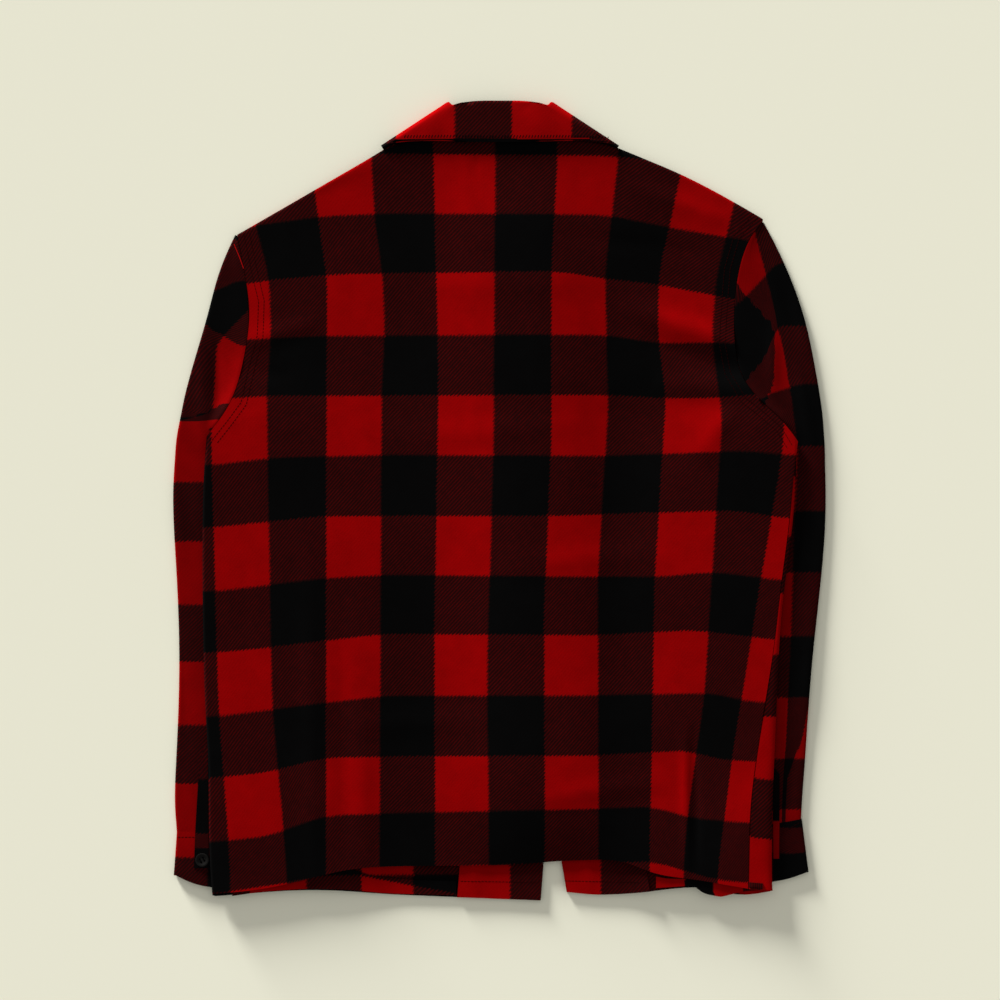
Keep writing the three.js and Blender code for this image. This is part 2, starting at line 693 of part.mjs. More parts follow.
function sleeveRow(side, row, armY) {
  const sign = SIGN[side];
  const innerY = row.innerY ?? armY;
  const radius = SLEEVE_RADIUS;
  const middle = SLEEVE_UNDER + radius;
  const outerX = row.outerX - sign * (radius + HALF);
  const rad = (degrees) => (degrees * Math.PI) / 180;
  const yAt = (x) => {
    const innerX = row.innerX ?? armholeEdge(side, 'back', innerY);
    return mix(row.outerY, innerY, clamp01((x - row.outerX) / (innerX - row.outerX)));
  };
  const outerTurn = OUTER_TURN.map((degrees) => {
    const x = outerX + sign * radius * Math.sin(rad(degrees));
    return point(x, row.outerY, middle + radius * Math.cos(rad(degrees)));
  });
  if (row.innerX !== undefined) {
    const innerX = row.innerX + sign * (radius + HALF);
    const trim = (SEAM / 2 / radius) * (180 / Math.PI);
    const turn = INNER_TURN.map((degrees, i) => (i === 0 ? degrees - trim : degrees));
    const inner = (up) => turn.map((degrees) => {
      const x = innerX - sign * radius * Math.sin(rad(degrees));
      return point(x, yAt(x), middle + up * radius * Math.cos(rad(degrees)));
    });
    const layer = (z) => ACROSS.map((share) => {
      const x = mix(innerX, outerX, share);
      return point(x, yAt(x), z);
    });
    const top = [...inner(1), ...layer(SLEEVE_TOP)];
    const under = [...inner(-1), ...layer(SLEEVE_UNDER)].reverse();
    return [...top, ...outerTurn, ...under];
  }
  const open = (layerName, level, bodyHeight) => {
    const edgeX = armholeEdge(side, layerName, innerY) + sign * (SEAM / 2);
    const edgeZ = mix(level, bodyHeight(edgeX, innerY), row.seam);
    const width = Math.abs(outerX - edgeX);
    const steps = [0, 1, 2, 3].map((step) => Math.min(step, width * 0.04 * step));
    const shares = [...steps.map((step) => step / width), ...ACROSS.map((share) => mix(0.14, 1, share))];
    return shares.map((share) => {
      const x = mix(edgeX, outerX, share);
      const rise = 1 - ease(clamp01((share * width) / row.reach));
      return point(x, yAt(x), mix(level, edgeZ, rise));
    });
  };
  const top = open('back', SLEEVE_TOP, backHeight);
  const under = open('front', SLEEVE_UNDER, (x, y) => frontHeight(side, x, y));
  return [...top, ...outerTurn, ...under.reverse()];
}

function sleeveGrid(side) {
  const heights = [...ARM_ROWS[side]].reverse();
  return SLEEVE[side].map((row, i) => sleeveRow(side, row, heights[i]));
}

// A cuff is a band closed on itself. down is 0 at its seam with the sleeve and 1 at the wrist.
const CUFF_ROWS = [0.012, 0.5, 1];
const CUFF_SHARES = [0.2, 0.5, 0.8]; // from the outer fold to the inner one
const CUFF_TURN = [180, 135, 90, 45, 0]; // degrees round a fold, from under to top layer

function cuffRing(side, down) {
  const { topOuter, topInner, endOuter, endMiddle, endInner } = CUFF[side];
  const sign = SIGN[side];
  const along = (top, end) => [mix(top[0], end[0], down), mix(top[1], end[1], down)];
  const outer = along(topOuter, endOuter);
  const inner = along(topInner, endInner);
  const inset = sign * (SLEEVE_RADIUS + HALF);
  const [outerX, innerX] = [outer[0] - inset, inner[0] + inset];
  const lowest = CUFF_SHARES[0];
  const dip = (endMiddle[1] - mix(endOuter[1], endInner[1], lowest)) * down;
  const dipAt = (share) => dip * Math.min(share / lowest, (1 - share) / (1 - lowest));
  const yAt = (share) => mix(outer[1], inner[1], share) + dipAt(share);
  const place = (x, share, degrees, outward) => {
    const angle = (degrees * Math.PI) / 180;
    const [across, up] = [outward * sign * Math.sin(angle), Math.cos(angle)];
    const z = SLEEVE_UNDER + SLEEVE_RADIUS * (1 + up);
    return { x: x + across * SLEEVE_RADIUS, y: yAt(share), z, out: [across, up] };
  };
  return [
    ...CUFF_TURN.map((degrees) => place(outerX, 0, degrees, 1)),
    ...CUFF_SHARES.map((share) => place(mix(outerX, innerX, share), share, 0, 0)),
    ...[...CUFF_TURN].reverse().map((degrees) => place(innerX, 1, degrees, -1)),
    ...[...CUFF_SHARES].reverse().map((share) => place(mix(outerX, innerX, share), share, 180, 0)),
  ];
}

// A closed tube of cloth: each ring's points moved out and in by half the cloth, with open ends.
function tubeOf(rings) {
  const around = rings[0].length;
  const points = [];
  for (const move of [HALF, -HALF]) {
    for (const ring of rings) {
      for (const p of ring) points.push(p.x + p.out[0] * move, p.y, p.z + p.out[1] * move);
    }
  }
  const inner = rings.length * around;
  const triangles = [];
  const quad = (a, b, c, d) => triangles.push(a, b, c, a, c, d);
  for (let j = 0; j < around; j += 1) {
    const next = (j + 1) % around;
    for (let i = 0; i < rings.length - 1; i += 1) {
      const a = i * around + j;
      const b = i * around + next;
      quad(a, b, b + around, a + around);
      quad(inner + a + around, inner + b + around, inner + b, inner + a);
    }
    const last = (rings.length - 1) * around;
    quad(inner + j, inner + next, next, j);
    quad(last + j, last + next, inner + last + next, inner + last + j);
  }
  const geometry = new THREE.BufferGeometry();
  geometry.setAttribute('position', new THREE.Float32BufferAttribute(points, 3));
  geometry.setIndex(triangles);
  return outwardFacing(geometry);
}

// Turns every triangle over if the shell is inside out.
function outwardFacing(geometry) {
  const position = geometry.getAttribute('position');
  const index = geometry.getIndex();
  const [a, b, c] = [new THREE.Vector3(), new THREE.Vector3(), new THREE.Vector3()];
  let volume = 0;
  for (let i = 0; i < index.count; i += 3) {
    a.fromBufferAttribute(position, index.getX(i));
    b.fromBufferAttribute(position, index.getX(i + 1));
    c.fromBufferAttribute(position, index.getX(i + 2));
    volume += a.dot(b.cross(c));
  }
  if (volume < 0) {
    for (let i = 0; i < index.count; i += 3) {
      const swap = index.getX(i + 1);
      index.setX(i + 1, index.getX(i + 2));
      index.setX(i + 2, swap);
    }
  }
  return geometry;
}

// Collar

// Both halves, from the left end of the front round the back to the right end.
function collarStations() {
  const half = COLLAR.map((row) => ({ ...row, sign: -1 }));
  const otherHalf = COLLAR.slice(0, -1).map((row) => ({ ...row, sign: 1 })).reverse();
  return [...half, ...otherHalf].map((row) => {
    const roll = point(row.sign * row.rollOff, row.rollY, COLLAR_LEVEL);
    const neck = point(row.sign * row.neckOff, row.neckY, COLLAR_LEVEL);
    const edge = point(row.sign * row.edgeOff, row.edgeY, COLLAR_LEVEL);
    const down = edge.clone().sub(roll).normalize();
    const aside = point(row.sign * Math.abs(down.y), Math.abs(down.x), 0);
    const angle = (row.turn * Math.PI) / 180;
    const out = point(0, 0, Math.cos(angle)).addScaledVector(aside, Math.sin(angle));
    return { roll, neck, edge, down, out };
  });
}

function standGrid() {
  return collarStations().map(({ roll, neck, out }) => {
    const up = roll.clone().sub(neck).normalize().multiplyScalar(SEAM);
    const ends = [neck.clone().add(up), roll.clone().sub(up)];
    return [0, 0.5, 1].map((share) => ends[0].clone().lerp(ends[1], share).addScaledVector(out, STAND_OUT));
  });
}

function leafGrid() {
  const radius = (LEAF_OUT - STAND_OUT) / 2;
  return collarStations().map(({ roll, edge, down, out }) => {
    const start = roll.clone().addScaledVector(down, -LEAF_GAP);
    const curl = [0, 45, 90, 135, 180].map((degrees) => {
      const angle = (degrees * Math.PI) / 180;
      return start.clone()
        .addScaledVector(down, -radius * Math.sin(angle))
        .addScaledVector(out, STAND_OUT + radius * (1 - Math.cos(angle)));
    });
    const leaf = [0.35, 0.7, 1].map((share) => start.clone().lerp(edge, share).addScaledVector(out, LEAF_OUT));
    return [...curl, ...leaf];
  });
}

// Buttons

function buttonGeometry({ radius, height, rim }) {
  const profile = [
    new THREE.Vector2(0, 0),
    new THREE.Vector2(radius - rim, 0),
    new THREE.Vector2(radius, rim),
    new THREE.Vector2(radius, height - rim),
    new THREE.Vector2(radius - rim, height),
    new THREE.Vector2(radius * 0.6, height),
    new THREE.Vector2(radius * 0.52, height - rim),
    new THREE.Vector2(0, height - rim),
  ];
  return new THREE.LatheGeometry(profile, BUTTON_SIDES).rotateX(Math.PI / 2);
}

function mesh(name, geometry, material) {
  const result = new THREE.Mesh(geometry, material);
  result.name = name;
  return result;
}

// The whole garment

const shirt = new THREE.Group();
const cloth = (name, wall, material = wool) => shirt.add(mesh(name, outwardFacing(wall), material));

cloth('back', wallOf(backGrid()));
for (const side of ['left', 'right']) {
  const front = frontGrid(side);
  const normals = normalsOf(front);
  const flip = normals[0][0].z > 0 ? 1 : -1;
  const low = flip * (HALF + LAID);
  const facing = front.map((row) => row.slice(0, FACING_COLUMNS.length));
  cloth(`front_${side}`, wallOf(front, -HALF, HALF, normals));
  cloth(`facing_${side}`, wallOf(facing, low, low + flip * CLOTH, normals));
  cloth(`sleeve_${side}`, wallOf(sleeveGrid(side)), woolDark);
  cloth(`cuff_${side}`, tubeOf(CUFF_ROWS.map((down) => cuffRing(side, down))));
}
cloth('collar_stand', wallOf(standGrid()), woolDark);
cloth('collar', wallOf(leafGrid()));

BUTTON_ROWS.forEach((y, i) => {
  const button = mesh(`button_${i + 1}`, buttonGeometry(BUTTON), horn);
  button.position.set(middleOfFront(y), y, 0);
  shirt.add(button);
});
for (const side of ['left', 'right']) {
  const [x, y] = CUFF[side].button;
  const button = mesh(`cuff_button_${side}`, buttonGeometry(CUFF_BUTTON), horn);
  button.position.set(x, y, SLEEVE_TOP + HALF + SEAM);
  shirt.add(button);
}

// The origin goes under the middle of the outline.
const bounds = new THREE.Box3().setFromObject(shirt);
const centre = bounds.getCenter(new THREE.Vector3());
shirt.position.set(-centre.x, -centre.y, -bounds.min.z);

export default shirt;
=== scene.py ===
# %% [markdown]
# # A wool overshirt in buffalo check, laid flat face down
# The real shirt is cut from heavy wool twill, about 1.6 mm thick, and sewn.
# It lies on its front, with the sleeves tucked under and the back up.
# This lesson dresses its plain solids: cloth shells, check, seams and light.

import json
import math

import bmesh
import bpy
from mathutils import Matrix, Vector
from mathutils.bvhtree import BVHTree

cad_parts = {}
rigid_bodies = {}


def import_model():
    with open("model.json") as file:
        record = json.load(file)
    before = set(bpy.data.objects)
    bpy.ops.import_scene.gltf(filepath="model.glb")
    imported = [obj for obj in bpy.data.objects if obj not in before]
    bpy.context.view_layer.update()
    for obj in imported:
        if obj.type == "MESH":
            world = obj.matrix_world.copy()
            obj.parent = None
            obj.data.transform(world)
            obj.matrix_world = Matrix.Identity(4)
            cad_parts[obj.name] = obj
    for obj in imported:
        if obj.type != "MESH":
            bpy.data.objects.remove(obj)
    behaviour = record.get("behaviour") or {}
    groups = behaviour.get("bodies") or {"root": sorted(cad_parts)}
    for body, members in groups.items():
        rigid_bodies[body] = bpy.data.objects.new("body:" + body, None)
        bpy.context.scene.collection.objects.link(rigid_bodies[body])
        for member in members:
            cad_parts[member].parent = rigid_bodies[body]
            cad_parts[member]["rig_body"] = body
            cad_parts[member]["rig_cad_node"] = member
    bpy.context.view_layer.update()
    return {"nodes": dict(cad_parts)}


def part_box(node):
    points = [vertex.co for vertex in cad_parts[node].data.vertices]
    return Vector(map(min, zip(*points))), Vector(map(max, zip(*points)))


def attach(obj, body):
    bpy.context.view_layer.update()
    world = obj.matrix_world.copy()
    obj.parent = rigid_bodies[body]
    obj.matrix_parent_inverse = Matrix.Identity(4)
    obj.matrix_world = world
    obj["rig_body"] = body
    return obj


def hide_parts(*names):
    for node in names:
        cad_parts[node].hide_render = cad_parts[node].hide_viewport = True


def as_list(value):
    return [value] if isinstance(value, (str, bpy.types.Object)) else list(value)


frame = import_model()
nodes = frame["nodes"]
MM = 0.001

# %% [markdown]
# ## The check as lines
# A check is woven square, but cloth pulls and turns when it is laid down.
# So each piece gets its own lines, in millimetres, with their bends listed.
# A straight line is one number, and a bent one is a short list of its bends.
# A point's place between two lines tells which stripe it lies in.
# Even stripes are red and odd ones black, both across and down the cloth.
# Where only one of the two is red, the twill mixes both colours.

# %% Helpers that read the lines of a check
FIRST_STEP = -450
STEP = 4
STEPS = 226


def place_on(line, at):
    """Where a line lies at a height, or at a place across. Before and after its bends it runs straight."""
    if not isinstance(line, list):
        return line
    if at <= line[0][0]:
        return line[0][1]
    for (start, first), (end, last) in zip(line, line[1:]):
        if at <= end:
            return first + (last - first) * (at - start) / (end - start)
    return line[-1][1]


def softened(lines, reach, sign):
    """The places of all lines at every step, with bends softened over a short reach."""
    places = []
    for step in range(STEPS):
        at = FIRST_STEP + step * STEP
        sets = [[sign * place_on(line, at + part * reach) for line in lines] for part in (-1, 0, 1)]
        places.append([sum(values) / 3 for values in zip(*sets)])
    return places


def chart(columns, rows, reach=12):
    """Columns run down the cloth and rows across it, from the top."""
    return {"columns": softened(columns, reach, 1), "rows": softened(rows, reach, -1)}


def between_steps(places, at):
    """The places of all lines at one point, mixed from the two steps beside it."""
    along = (at - FIRST_STEP) / STEP
    step = min(max(int(along), 0), STEPS - 2)
    part = along - step
    return [a + (b - a) * part for a, b in zip(places[step], places[step + 1])]


def index_among(lines, value):
    """Place of value among rising lines, carried on past both ends."""
    last = len(lines) - 2
    step = 0
    while step < last and value > lines[step + 1]:
        step += 1
    return step + (value - lines[step]) / (lines[step + 1] - lines[step])


def check_place(lines, x, y):
    """Place on the check, in stripes across and down."""
    across = index_among(between_steps(lines["columns"], y), x)
    down = index_among(between_steps(lines["rows"], x), -y)
    return across, down


def flat_on(lines):
    """The same for a flat piece, at any height."""
    return lambda x, y, z: check_place(lines, x, y)


# %% [markdown]
# ## Lines of the back
# The back is one panel, with ten stripes across and twelve down.
# The stripes run in at the waist and fan out over the shoulders.
# Each line below gives only its bends: height and place for a line down
# the cloth, place and height for one across it.

# %% The lines of the back
back_columns = [
    [(-355, -257), (-190, -269), (40, -275), (332, -282)],
    [(-355, -203), (-190, -218), (100, -223), (160, -219), (216, -221), (332, -252)],
    [(-355, -166), (216, -165), (332, -182)],
    [(-355, -115), (100, -113), (160, -110), (216, -112), (274, -120), (332, -123)],
    [(-355, -61), (-130, -62), (120, -58), (332, -63)],
    [(-355, -10), (-160, -12), (40, -6), (332, -4)],
    [(-355, 44), (-110, 43), (60, 50), (216, 50), (332, 56)],
    [(-355, 95), (-72, 94), (90, 104), (216, 101), (332, 114)],
    [(-355, 144), (-190, 147), (-72, 149), (100, 160), (160, 152), (216, 153), (332, 178)],
    [(-355, 176), (-300, 180), (-190, 196), (80, 213), (160, 203), (216, 208), (332, 236)],
    [(-355, 209), (-245, 223), (-72, 251), (43, 271), (120, 275), (216, 277), (332, 289)],
]
back_rows = [
    [(-276, 301), (-166, 329), (-114, 332), (101, 330), (204, 320), (270, 307)],
    [(-276, 258), (-166, 273), (-110, 275), (101, 274), (150, 264), (270, 244)],
    [(-276, 202), (-221, 211), (-150, 217), (60, 219), (101, 212), (150, 207), (270, 184)],
    [(-276, 153), (-166, 158), (101, 159), (150, 151), (204, 152), (270, 148)],
    [(-276, 97), (-221, 100), (101, 101), (150, 98), (204, 98), (270, 103)],
    [(-276, 34), (-221, 41), (-114, 44), (101, 43), (236, 48), (270, 44)],
    [(-276, -26), (-166, -15), (47, -15), (204, -10), (236, -11), (270, -17)],
    [(-276, -87), (-166, -74), (-114, -71), (150, -73), (204, -68), (270, -76)],
    [(-276, -146), (-221, -141), (-114, -128), (101, -129), (183, -124), (270, -134)],
    [(-276, -207), (-114, -187), (101, -186), (204, -184), (236, -192), (270, -193)],
    [(-276, -266), (-221, -260), (-166, -246), (101, -244), (183, -239), (204, -248), (270, -251)],
    [(-276, -327), (-221, -321), (-166, -301), (150, -293), (183, -304), (270, -310)],
    [(-276, -377), (-166, -360), (-114, -353), (-33, -350), (150, -346), (204, -363), (270, -368)],
]
back_chart = chart(back_columns, back_rows)
print("check at the middle of the back:", check_place(back_chart, 0, 0))

# %% [markdown]
# ## Lines of the sleeves, cuffs, fronts and collar
# These pieces were cut apart from the back, so their checks don't meet it.
# The left sleeve is turned under a little, and its check is broken by a crease.
# The fronts show below the back's hem and come round the right side.

# %% The lines of the other pieces
SLEEVE_REACH = 4
CHECK_WIDE = 56
SLANT = 33

left_fold = [(-400, -335), (74, -333), (80, -275), (151, -271), (190, -233), (259, -245)]
sleeve_left_chart = chart(
    [left_fold, [(y, x + CHECK_WIDE - 1) for y, x in left_fold]],
    [
        250,
        [(-310, 183), (-249, 212)],
        [(-310, 177), (-287, 173), (-249, 148)],
        [(-287, 79.6), (-268, 91)],
        79, 18, -39, -100, -154, -215, -271, -342, -398,
    ],
    SLEEVE_REACH,
)
right_outer = [
    (-355, 270), (-296, 271), (-254, 278), (-230, 290), (-189, 297), (-130, 327),
    (-70, 336), (53, 339), (108, 332), (206, 312), (258, 299),
]
sleeve_right_chart = chart(
    [
        100,
        172,
        [(-355, 212), (-230, 223), (0, 228), (53, 236), (108, 264), (169, 266), (206, 229), (258, 212)],
        [(-355, 268), (-230, 276), (-10, 283), (53, 286), (108, 278), (206, 258), (258, 244)],
        right_outer,
        [(y, x + CHECK_WIDE + 1) for y, x in right_outer],
    ],
    [
        283,
        [(228, 187), (266, 228)],
        [(228, 96), (239, 117), (254, 133), (266, 167)],
        [(228, 67), (239, 87), (254, 101), (289, 112)],
        [(228, 29), (254, 48), (266, 52)],
        -10, -69, -130, -189, -248, -296, -353,
    ],
    SLEEVE_REACH,
)
cuff_right_chart = chart([231, 261, 318], [-250, -281, -314, -337, -394], SLEEVE_REACH)
front_left_chart = chart([-239, -185, -132, -83, -28], [-180, -240, -297, -359, -414])
front_right_chart = chart(
    [126, 178, 229, 283],
    [[(150, y), (245, y - SLANT)] for y in (56, -1, -56, -114, -174, -234, -291, -348)],
)
facing_rows = [-215, -273, -331, -389, -447]
facing_left_chart = chart([-42, 10, 63], facing_rows)
facing_right_chart = chart([44, 97, 150], facing_rows)
collar_chart = chart([-206, -152, -98, -43, 12, 69, 124, 179], [512, 453, 399, 341, 283])
print("rows down the left sleeve:", len(sleeve_left_chart["rows"][0]))

# %% [markdown]
# ## Creases
# Wool this heavy doesn't wrinkle sharply: it has a few broad soft rolls.
# The main ones drag from the right underarm towards the middle of the back.
# Each crease here is a line with a width and a height, below zero for a trough.
# It fades out at both ends, and a gentle uneven swell lies under them all.

# %% Helpers for creases
PAST_END = 0.15


def crease_lift(crease, x, y):
    """Height that one crease adds at a place, in millimetres."""
    x0, y0, x1, y1, width, height = crease
    along_x = x1 - x0
    along_y = y1 - y0
    length = math.hypot(along_x, along_y)
    share = ((x - x0) * along_x + (y - y0) * along_y) / length**2
    if share <= -PAST_END or share >= 1 + PAST_END:
        return 0.0
    aside = ((x - x0) * along_y - (y - y0) * along_x) / length
    ends = math.sin(math.pi * (share + PAST_END) / (1 + 2 * PAST_END)) ** 0.8
    return height * ends * math.exp(-((aside / width) ** 2))


def swell(x, y, seed):
    """A gentle uneven swell of the cloth, in millimetres."""
    first = math.sin(x * 0.021 + seed) * math.sin(y * 0.017 + seed * 1.7)
    second = math.sin(x * 0.047 + y * 0.029 + seed * 2.3)
    third = math.sin(x * 0.011 - y * 0.053 + seed * 3.1)
    return 0.22 * first + 0.13 * second + 0.12 * third


# %% [markdown]
# ## Where the creases lie
# Each crease is x and y of its start, x and y of its end, its width and its
# height. Their lengths, depths and spacing differ, as they do in cloth that
# was smoothed by hand. The hidden fronts get similar ones.

# %% The creases of each piece
CREASES = {
    "back": [
        (246, 142, 130, 182, 11, 2.2),
        (244, 122, 150, 150, 9, -1.1),
        (250, 106, 160, 112, 12, 1.8),
        (222, 86, 190, 40, 10, 1.0),
        (-246, 150, -180, 170, 9, 1.3),
        (-250, 128, -205, 118, 8, -0.8),
        (-24, 331, -24, 306, 1.6, -0.7),
        (-182, -60, -178, -330, 9, 1.1),
        (-152, -120, -149, -350, 7, -0.9),
        (-131, -200, -128, -345, 8, 0.8),
        (186, -228, 188, -344, 3.5, -1.4),
        (178, -228, 179, -340, 4, 1.2),
        (-200, 300, -120, 322, 9, 0.9),
        (130, 300, 210, 270, 9, 1.0),
        (-90, 62, 60, 70, 12, 0.7),
        (20, -60, 150, -52, 11, 0.8),
        (-140, -215, -10, -210, 10, 0.7),
        (40, -285, 150, -270, 9, 0.9),
        (-60, 205, 70, 212, 13, 0.6),
        (60, 255, 190, 238, 8, -0.7),
    ],
    "sleeve_left": [
        (-272, 150, -270, 92, 5, -1.3),
        (-288, 160, -282, 60, 8, 1.5),
        (-300, 120, -278, 96, 6, -0.9),
        (-316, 40, -304, -40, 6, 0.9),
        (-308, -120, -300, -220, 6, -0.8),
        (-300, -260, -290, -300, 5, 0.9),
    ],
    "sleeve_right": [
        (262, 158, 262, 100, 5, 1.4),
        (270, 206, 286, 160, 7, -1.1),
        (286, 120, 300, 60, 7, 1.3),
        (296, 20, 302, -50, 6, -0.9),
        (300, -110, 294, -200, 6, 1.0),
        (284, -230, 276, -290, 5, -0.9),
    ],
    "front_left": [
        (-200, 120, -60, 150, 12, 1.0),
        (-210, -40, -70, -60, 11, 1.1),
        (-190, -180, -60, -170, 12, 1.0),
        (-150, -300, -120, -370, 8, 1.2),
        (-90, 260, -60, 120, 9, 0.9),
    ],
    "front_right": [
        (60, 130, 190, 110, 12, 1.0),
        (70, -30, 200, -60, 11, 1.1),
        (80, -190, 190, -170, 12, 1.0),
        (128, -335, 142, -372, 6, 1.6),
        (110, 260, 70, 130, 9, 0.9),
    ],
    "facing_left": [(-30, -330, -22, -375, 6, 0.8)],
    "facing_right": [(80, -335, 88, -372, 6, 0.8)],
    "collar": [(-70, 372, -60, 350, 8, 0.8), (30, 374, 44, 350, 9, 0.9)],
    "cuff_left": [(-300, -322, -286, -350, 6, 0.7)],
    "cuff_right": [(270, -320, 276, -345, 6, 0.7)],
}
print("creases placed by hand:", sum(len(lines) for lines in CREASES.values()))

# %% [markdown]
# ## Cloth shells
# A sewn piece is one flat sheet that follows what lies under it.
# The solid already lies right, so its outer face is taken as the sheet.
# These first tools do what a hand does in Blender: pick one thing, settle its
# place into its mesh, and use a modifier on it.

# %% Tools for one object
def pick_only(thing):
    """Deselects all and makes one object active."""
    if bpy.context.object and bpy.context.object.mode != "OBJECT":
        bpy.ops.object.mode_set(mode="OBJECT")
    bpy.ops.object.select_all(action="DESELECT")
    thing.select_set(True)
    bpy.context.view_layer.objects.active = thing


def settle_place(thing):
    """Puts an object's place, turn and size into its mesh."""
    pick_only(thing)
    bpy.ops.object.transform_apply(location=True, rotation=True, scale=True)


def use_modifier(thing, kind, **values):
    """Adds a modifier with these values and applies it."""
    pick_only(thing)
    modifier = thing.modifiers.new(kind.title(), kind)
    for name, value in values.items():
        setattr(modifier, name, value)
    bpy.ops.object.modifier_apply(modifier=modifier.name)


# %% [markdown]
# ## Taking the sheet
# The copy is merged, its outer faces are found by following flat neighbours,
# and the rest is deleted. Later, subdividing rounds it, and Solidify gives the
# thickness of the wool back on the inner side.

# %% Taking a sheet off a solid
CLOTH = 1.6 * MM
FLAT_TURN = math.radians(65)
MERGE = 0.01 * MM
FACES_UP = 0.97
STEEPEST = 0.35


def outer_sheet(name, side, plain):
    """A copy of a solid's outer face. Side is +1 where it lies face up, -1 face down.

    A plain piece doesn't turn round a fold, so only faces that look to its side are kept.
    """
    sheet = nodes[name].copy()
    sheet.data = nodes[name].data.copy()
    sheet.parent = None
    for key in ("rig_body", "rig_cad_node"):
        if key in sheet:
            del sheet[key]
    bpy.context.scene.collection.objects.link(sheet)
    sheet.name = name + "_cloth"
    sheet.data.name = sheet.name
    settle_place(sheet)
    bpy.ops.object.mode_set(mode="EDIT")
    bpy.ops.mesh.select_mode(type="FACE")
    bpy.ops.mesh.select_all(action="SELECT")
    bpy.ops.mesh.remove_doubles(threshold=MERGE)
    bpy.ops.mesh.select_all(action="DESELECT")
    shape = bmesh.from_edit_mesh(sheet.data)
    faces = [face for face in shape.faces if face.normal.z * side > FACES_UP]
    seed = max(faces, key=lambda face: face.calc_area())
    seed.select = True
    bmesh.update_edit_mesh(sheet.data)
    if plain:
        for face in shape.faces:
            face.select = face.normal.z * side > STEEPEST
        bmesh.update_edit_mesh(sheet.data)
    else:
        bpy.ops.mesh.faces_select_linked_flat(sharpness=FLAT_TURN)
    bpy.ops.mesh.select_all(action="INVERT")
    bpy.ops.mesh.delete(type="FACE")
    bpy.ops.mesh.select_all(action="SELECT")
    bpy.ops.mesh.tris_convert_to_quads(
        face_threshold=math.radians(50), shape_threshold=math.radians(80)
    )
    bpy.ops.object.mode_set(mode="OBJECT")
    return sheet


# %% [markdown]
# ## Ends and corners
# A sleeve's tip runs on under the shoulder, and its other end slips into the
# cuff, so neither shows the table. Cut corners stay sharp when a sheet is
# rounded, so they are marked first.

# %% Shaping a sheet's ends and corners
CORNER_TURN = math.radians(150)
TIP_WIDTH = 0.06
TUCK_LENGTH = 2
FLATTENED = 0.22


def reach_tip(sheet, above, tip):
    """Draws the edge that lies above a height together towards a tip."""
    pick_only(sheet)
    bpy.ops.object.mode_set(mode="EDIT")
    bpy.ops.mesh.select_mode(type="EDGE")
    bpy.ops.mesh.select_all(action="DESELECT")
    shape = bmesh.from_edit_mesh(sheet.data)
    for edge in shape.edges:
        high = all(vertex.co.y > above * MM for vertex in edge.verts)
        edge.select = edge.is_boundary and high
    bmesh.update_edit_mesh(sheet.data)
    bpy.ops.mesh.extrude_edges_move()
    shape = bmesh.from_edit_mesh(sheet.data)
    for vertex in shape.verts:
        if vertex.select:
            vertex.co.x = tip[0] * MM + (vertex.co.x - tip[0] * MM) * TIP_WIDTH
            vertex.co.y = tip[1] * MM
    bmesh.update_edit_mesh(sheet.data)
    bpy.ops.object.mode_set(mode="OBJECT")


def tuck_end(sheet, below, distance, middle):
    """Pushes a tube's lower end down and flattens it, so that it slips into the cuff."""
    for vertex in sheet.data.vertices:
        share = min(max((below * MM - vertex.co.y) / (TUCK_LENGTH * MM), 0), 1)
        vertex.co.y -= distance * MM * share
        vertex.co.z += (middle * MM - vertex.co.z) * FLATTENED * share


def keep_corners(sheet, held=None):
    """Marks the corners of the sheet's edge, so that rounding keeps them."""
    shape = bmesh.new()
    shape.from_mesh(sheet.data)
    crease = shape.verts.layers.float.get("crease_vert")
    if crease is None:
        crease = shape.verts.layers.float.new("crease_vert")
    for vertex in shape.verts:
        rim = [edge.other_vert(vertex).co - vertex.co for edge in vertex.link_edges if edge.is_boundary]
        if len(rim) == 2 and rim[0].angle(rim[1], 0) < CORNER_TURN:
            vertex[crease] = 1.0
        if held and held(vertex.co.x / MM, vertex.co.y / MM):
            vertex[crease] = 1.0
    shape.to_mesh(sheet.data)
    shape.free()


# %% [markdown]
# ## Check and creases on a sheet
# The check's place is kept in a UV map, so that it bends with the weave.
# The creases then lift and lower the sheet. A limit keeps troughs from
# sinking far into the layers below.

# %% Putting check and creases on a sheet
DEEPEST = -1.4


def write_check(sheet, place_of):
    """Writes the place on the check into a UV map of the piece."""
    mesh = sheet.data
    while mesh.uv_layers:
        mesh.uv_layers.remove(mesh.uv_layers[0])
    layer = mesh.uv_layers.new(name="cloth")
    places = [place_of(*(vertex.co / MM)) for vertex in mesh.vertices]
    for loop in mesh.loops:
        layer.data[loop.index].uv = places[loop.vertex_index]


def lay_creases(sheet, name, seed, share=1.0):
    """Lifts and lowers the sheet along its creases."""
    for vertex in sheet.data.vertices:
        x = vertex.co.x / MM
        y = vertex.co.y / MM
        lift = swell(x, y, seed)
        for crease in CREASES.get(name, ()):
            lift += crease_lift(crease, x, y)
        vertex.co.z += max(lift, DEEPEST) * share * MM


# %% [markdown]
# ## Check and nap as node groups
# All wool pieces share the same weave, so its pattern is made once as a group.
# It reads the place on the check and gives how much red shows there.
# In mixed stripes the twill draws fine slanted lines of red on black.
# A second group gives the nap: short fuzzy fibres that mottle and soften it.

# %% Tools for building node groups
TWILL_LINES = 14.6


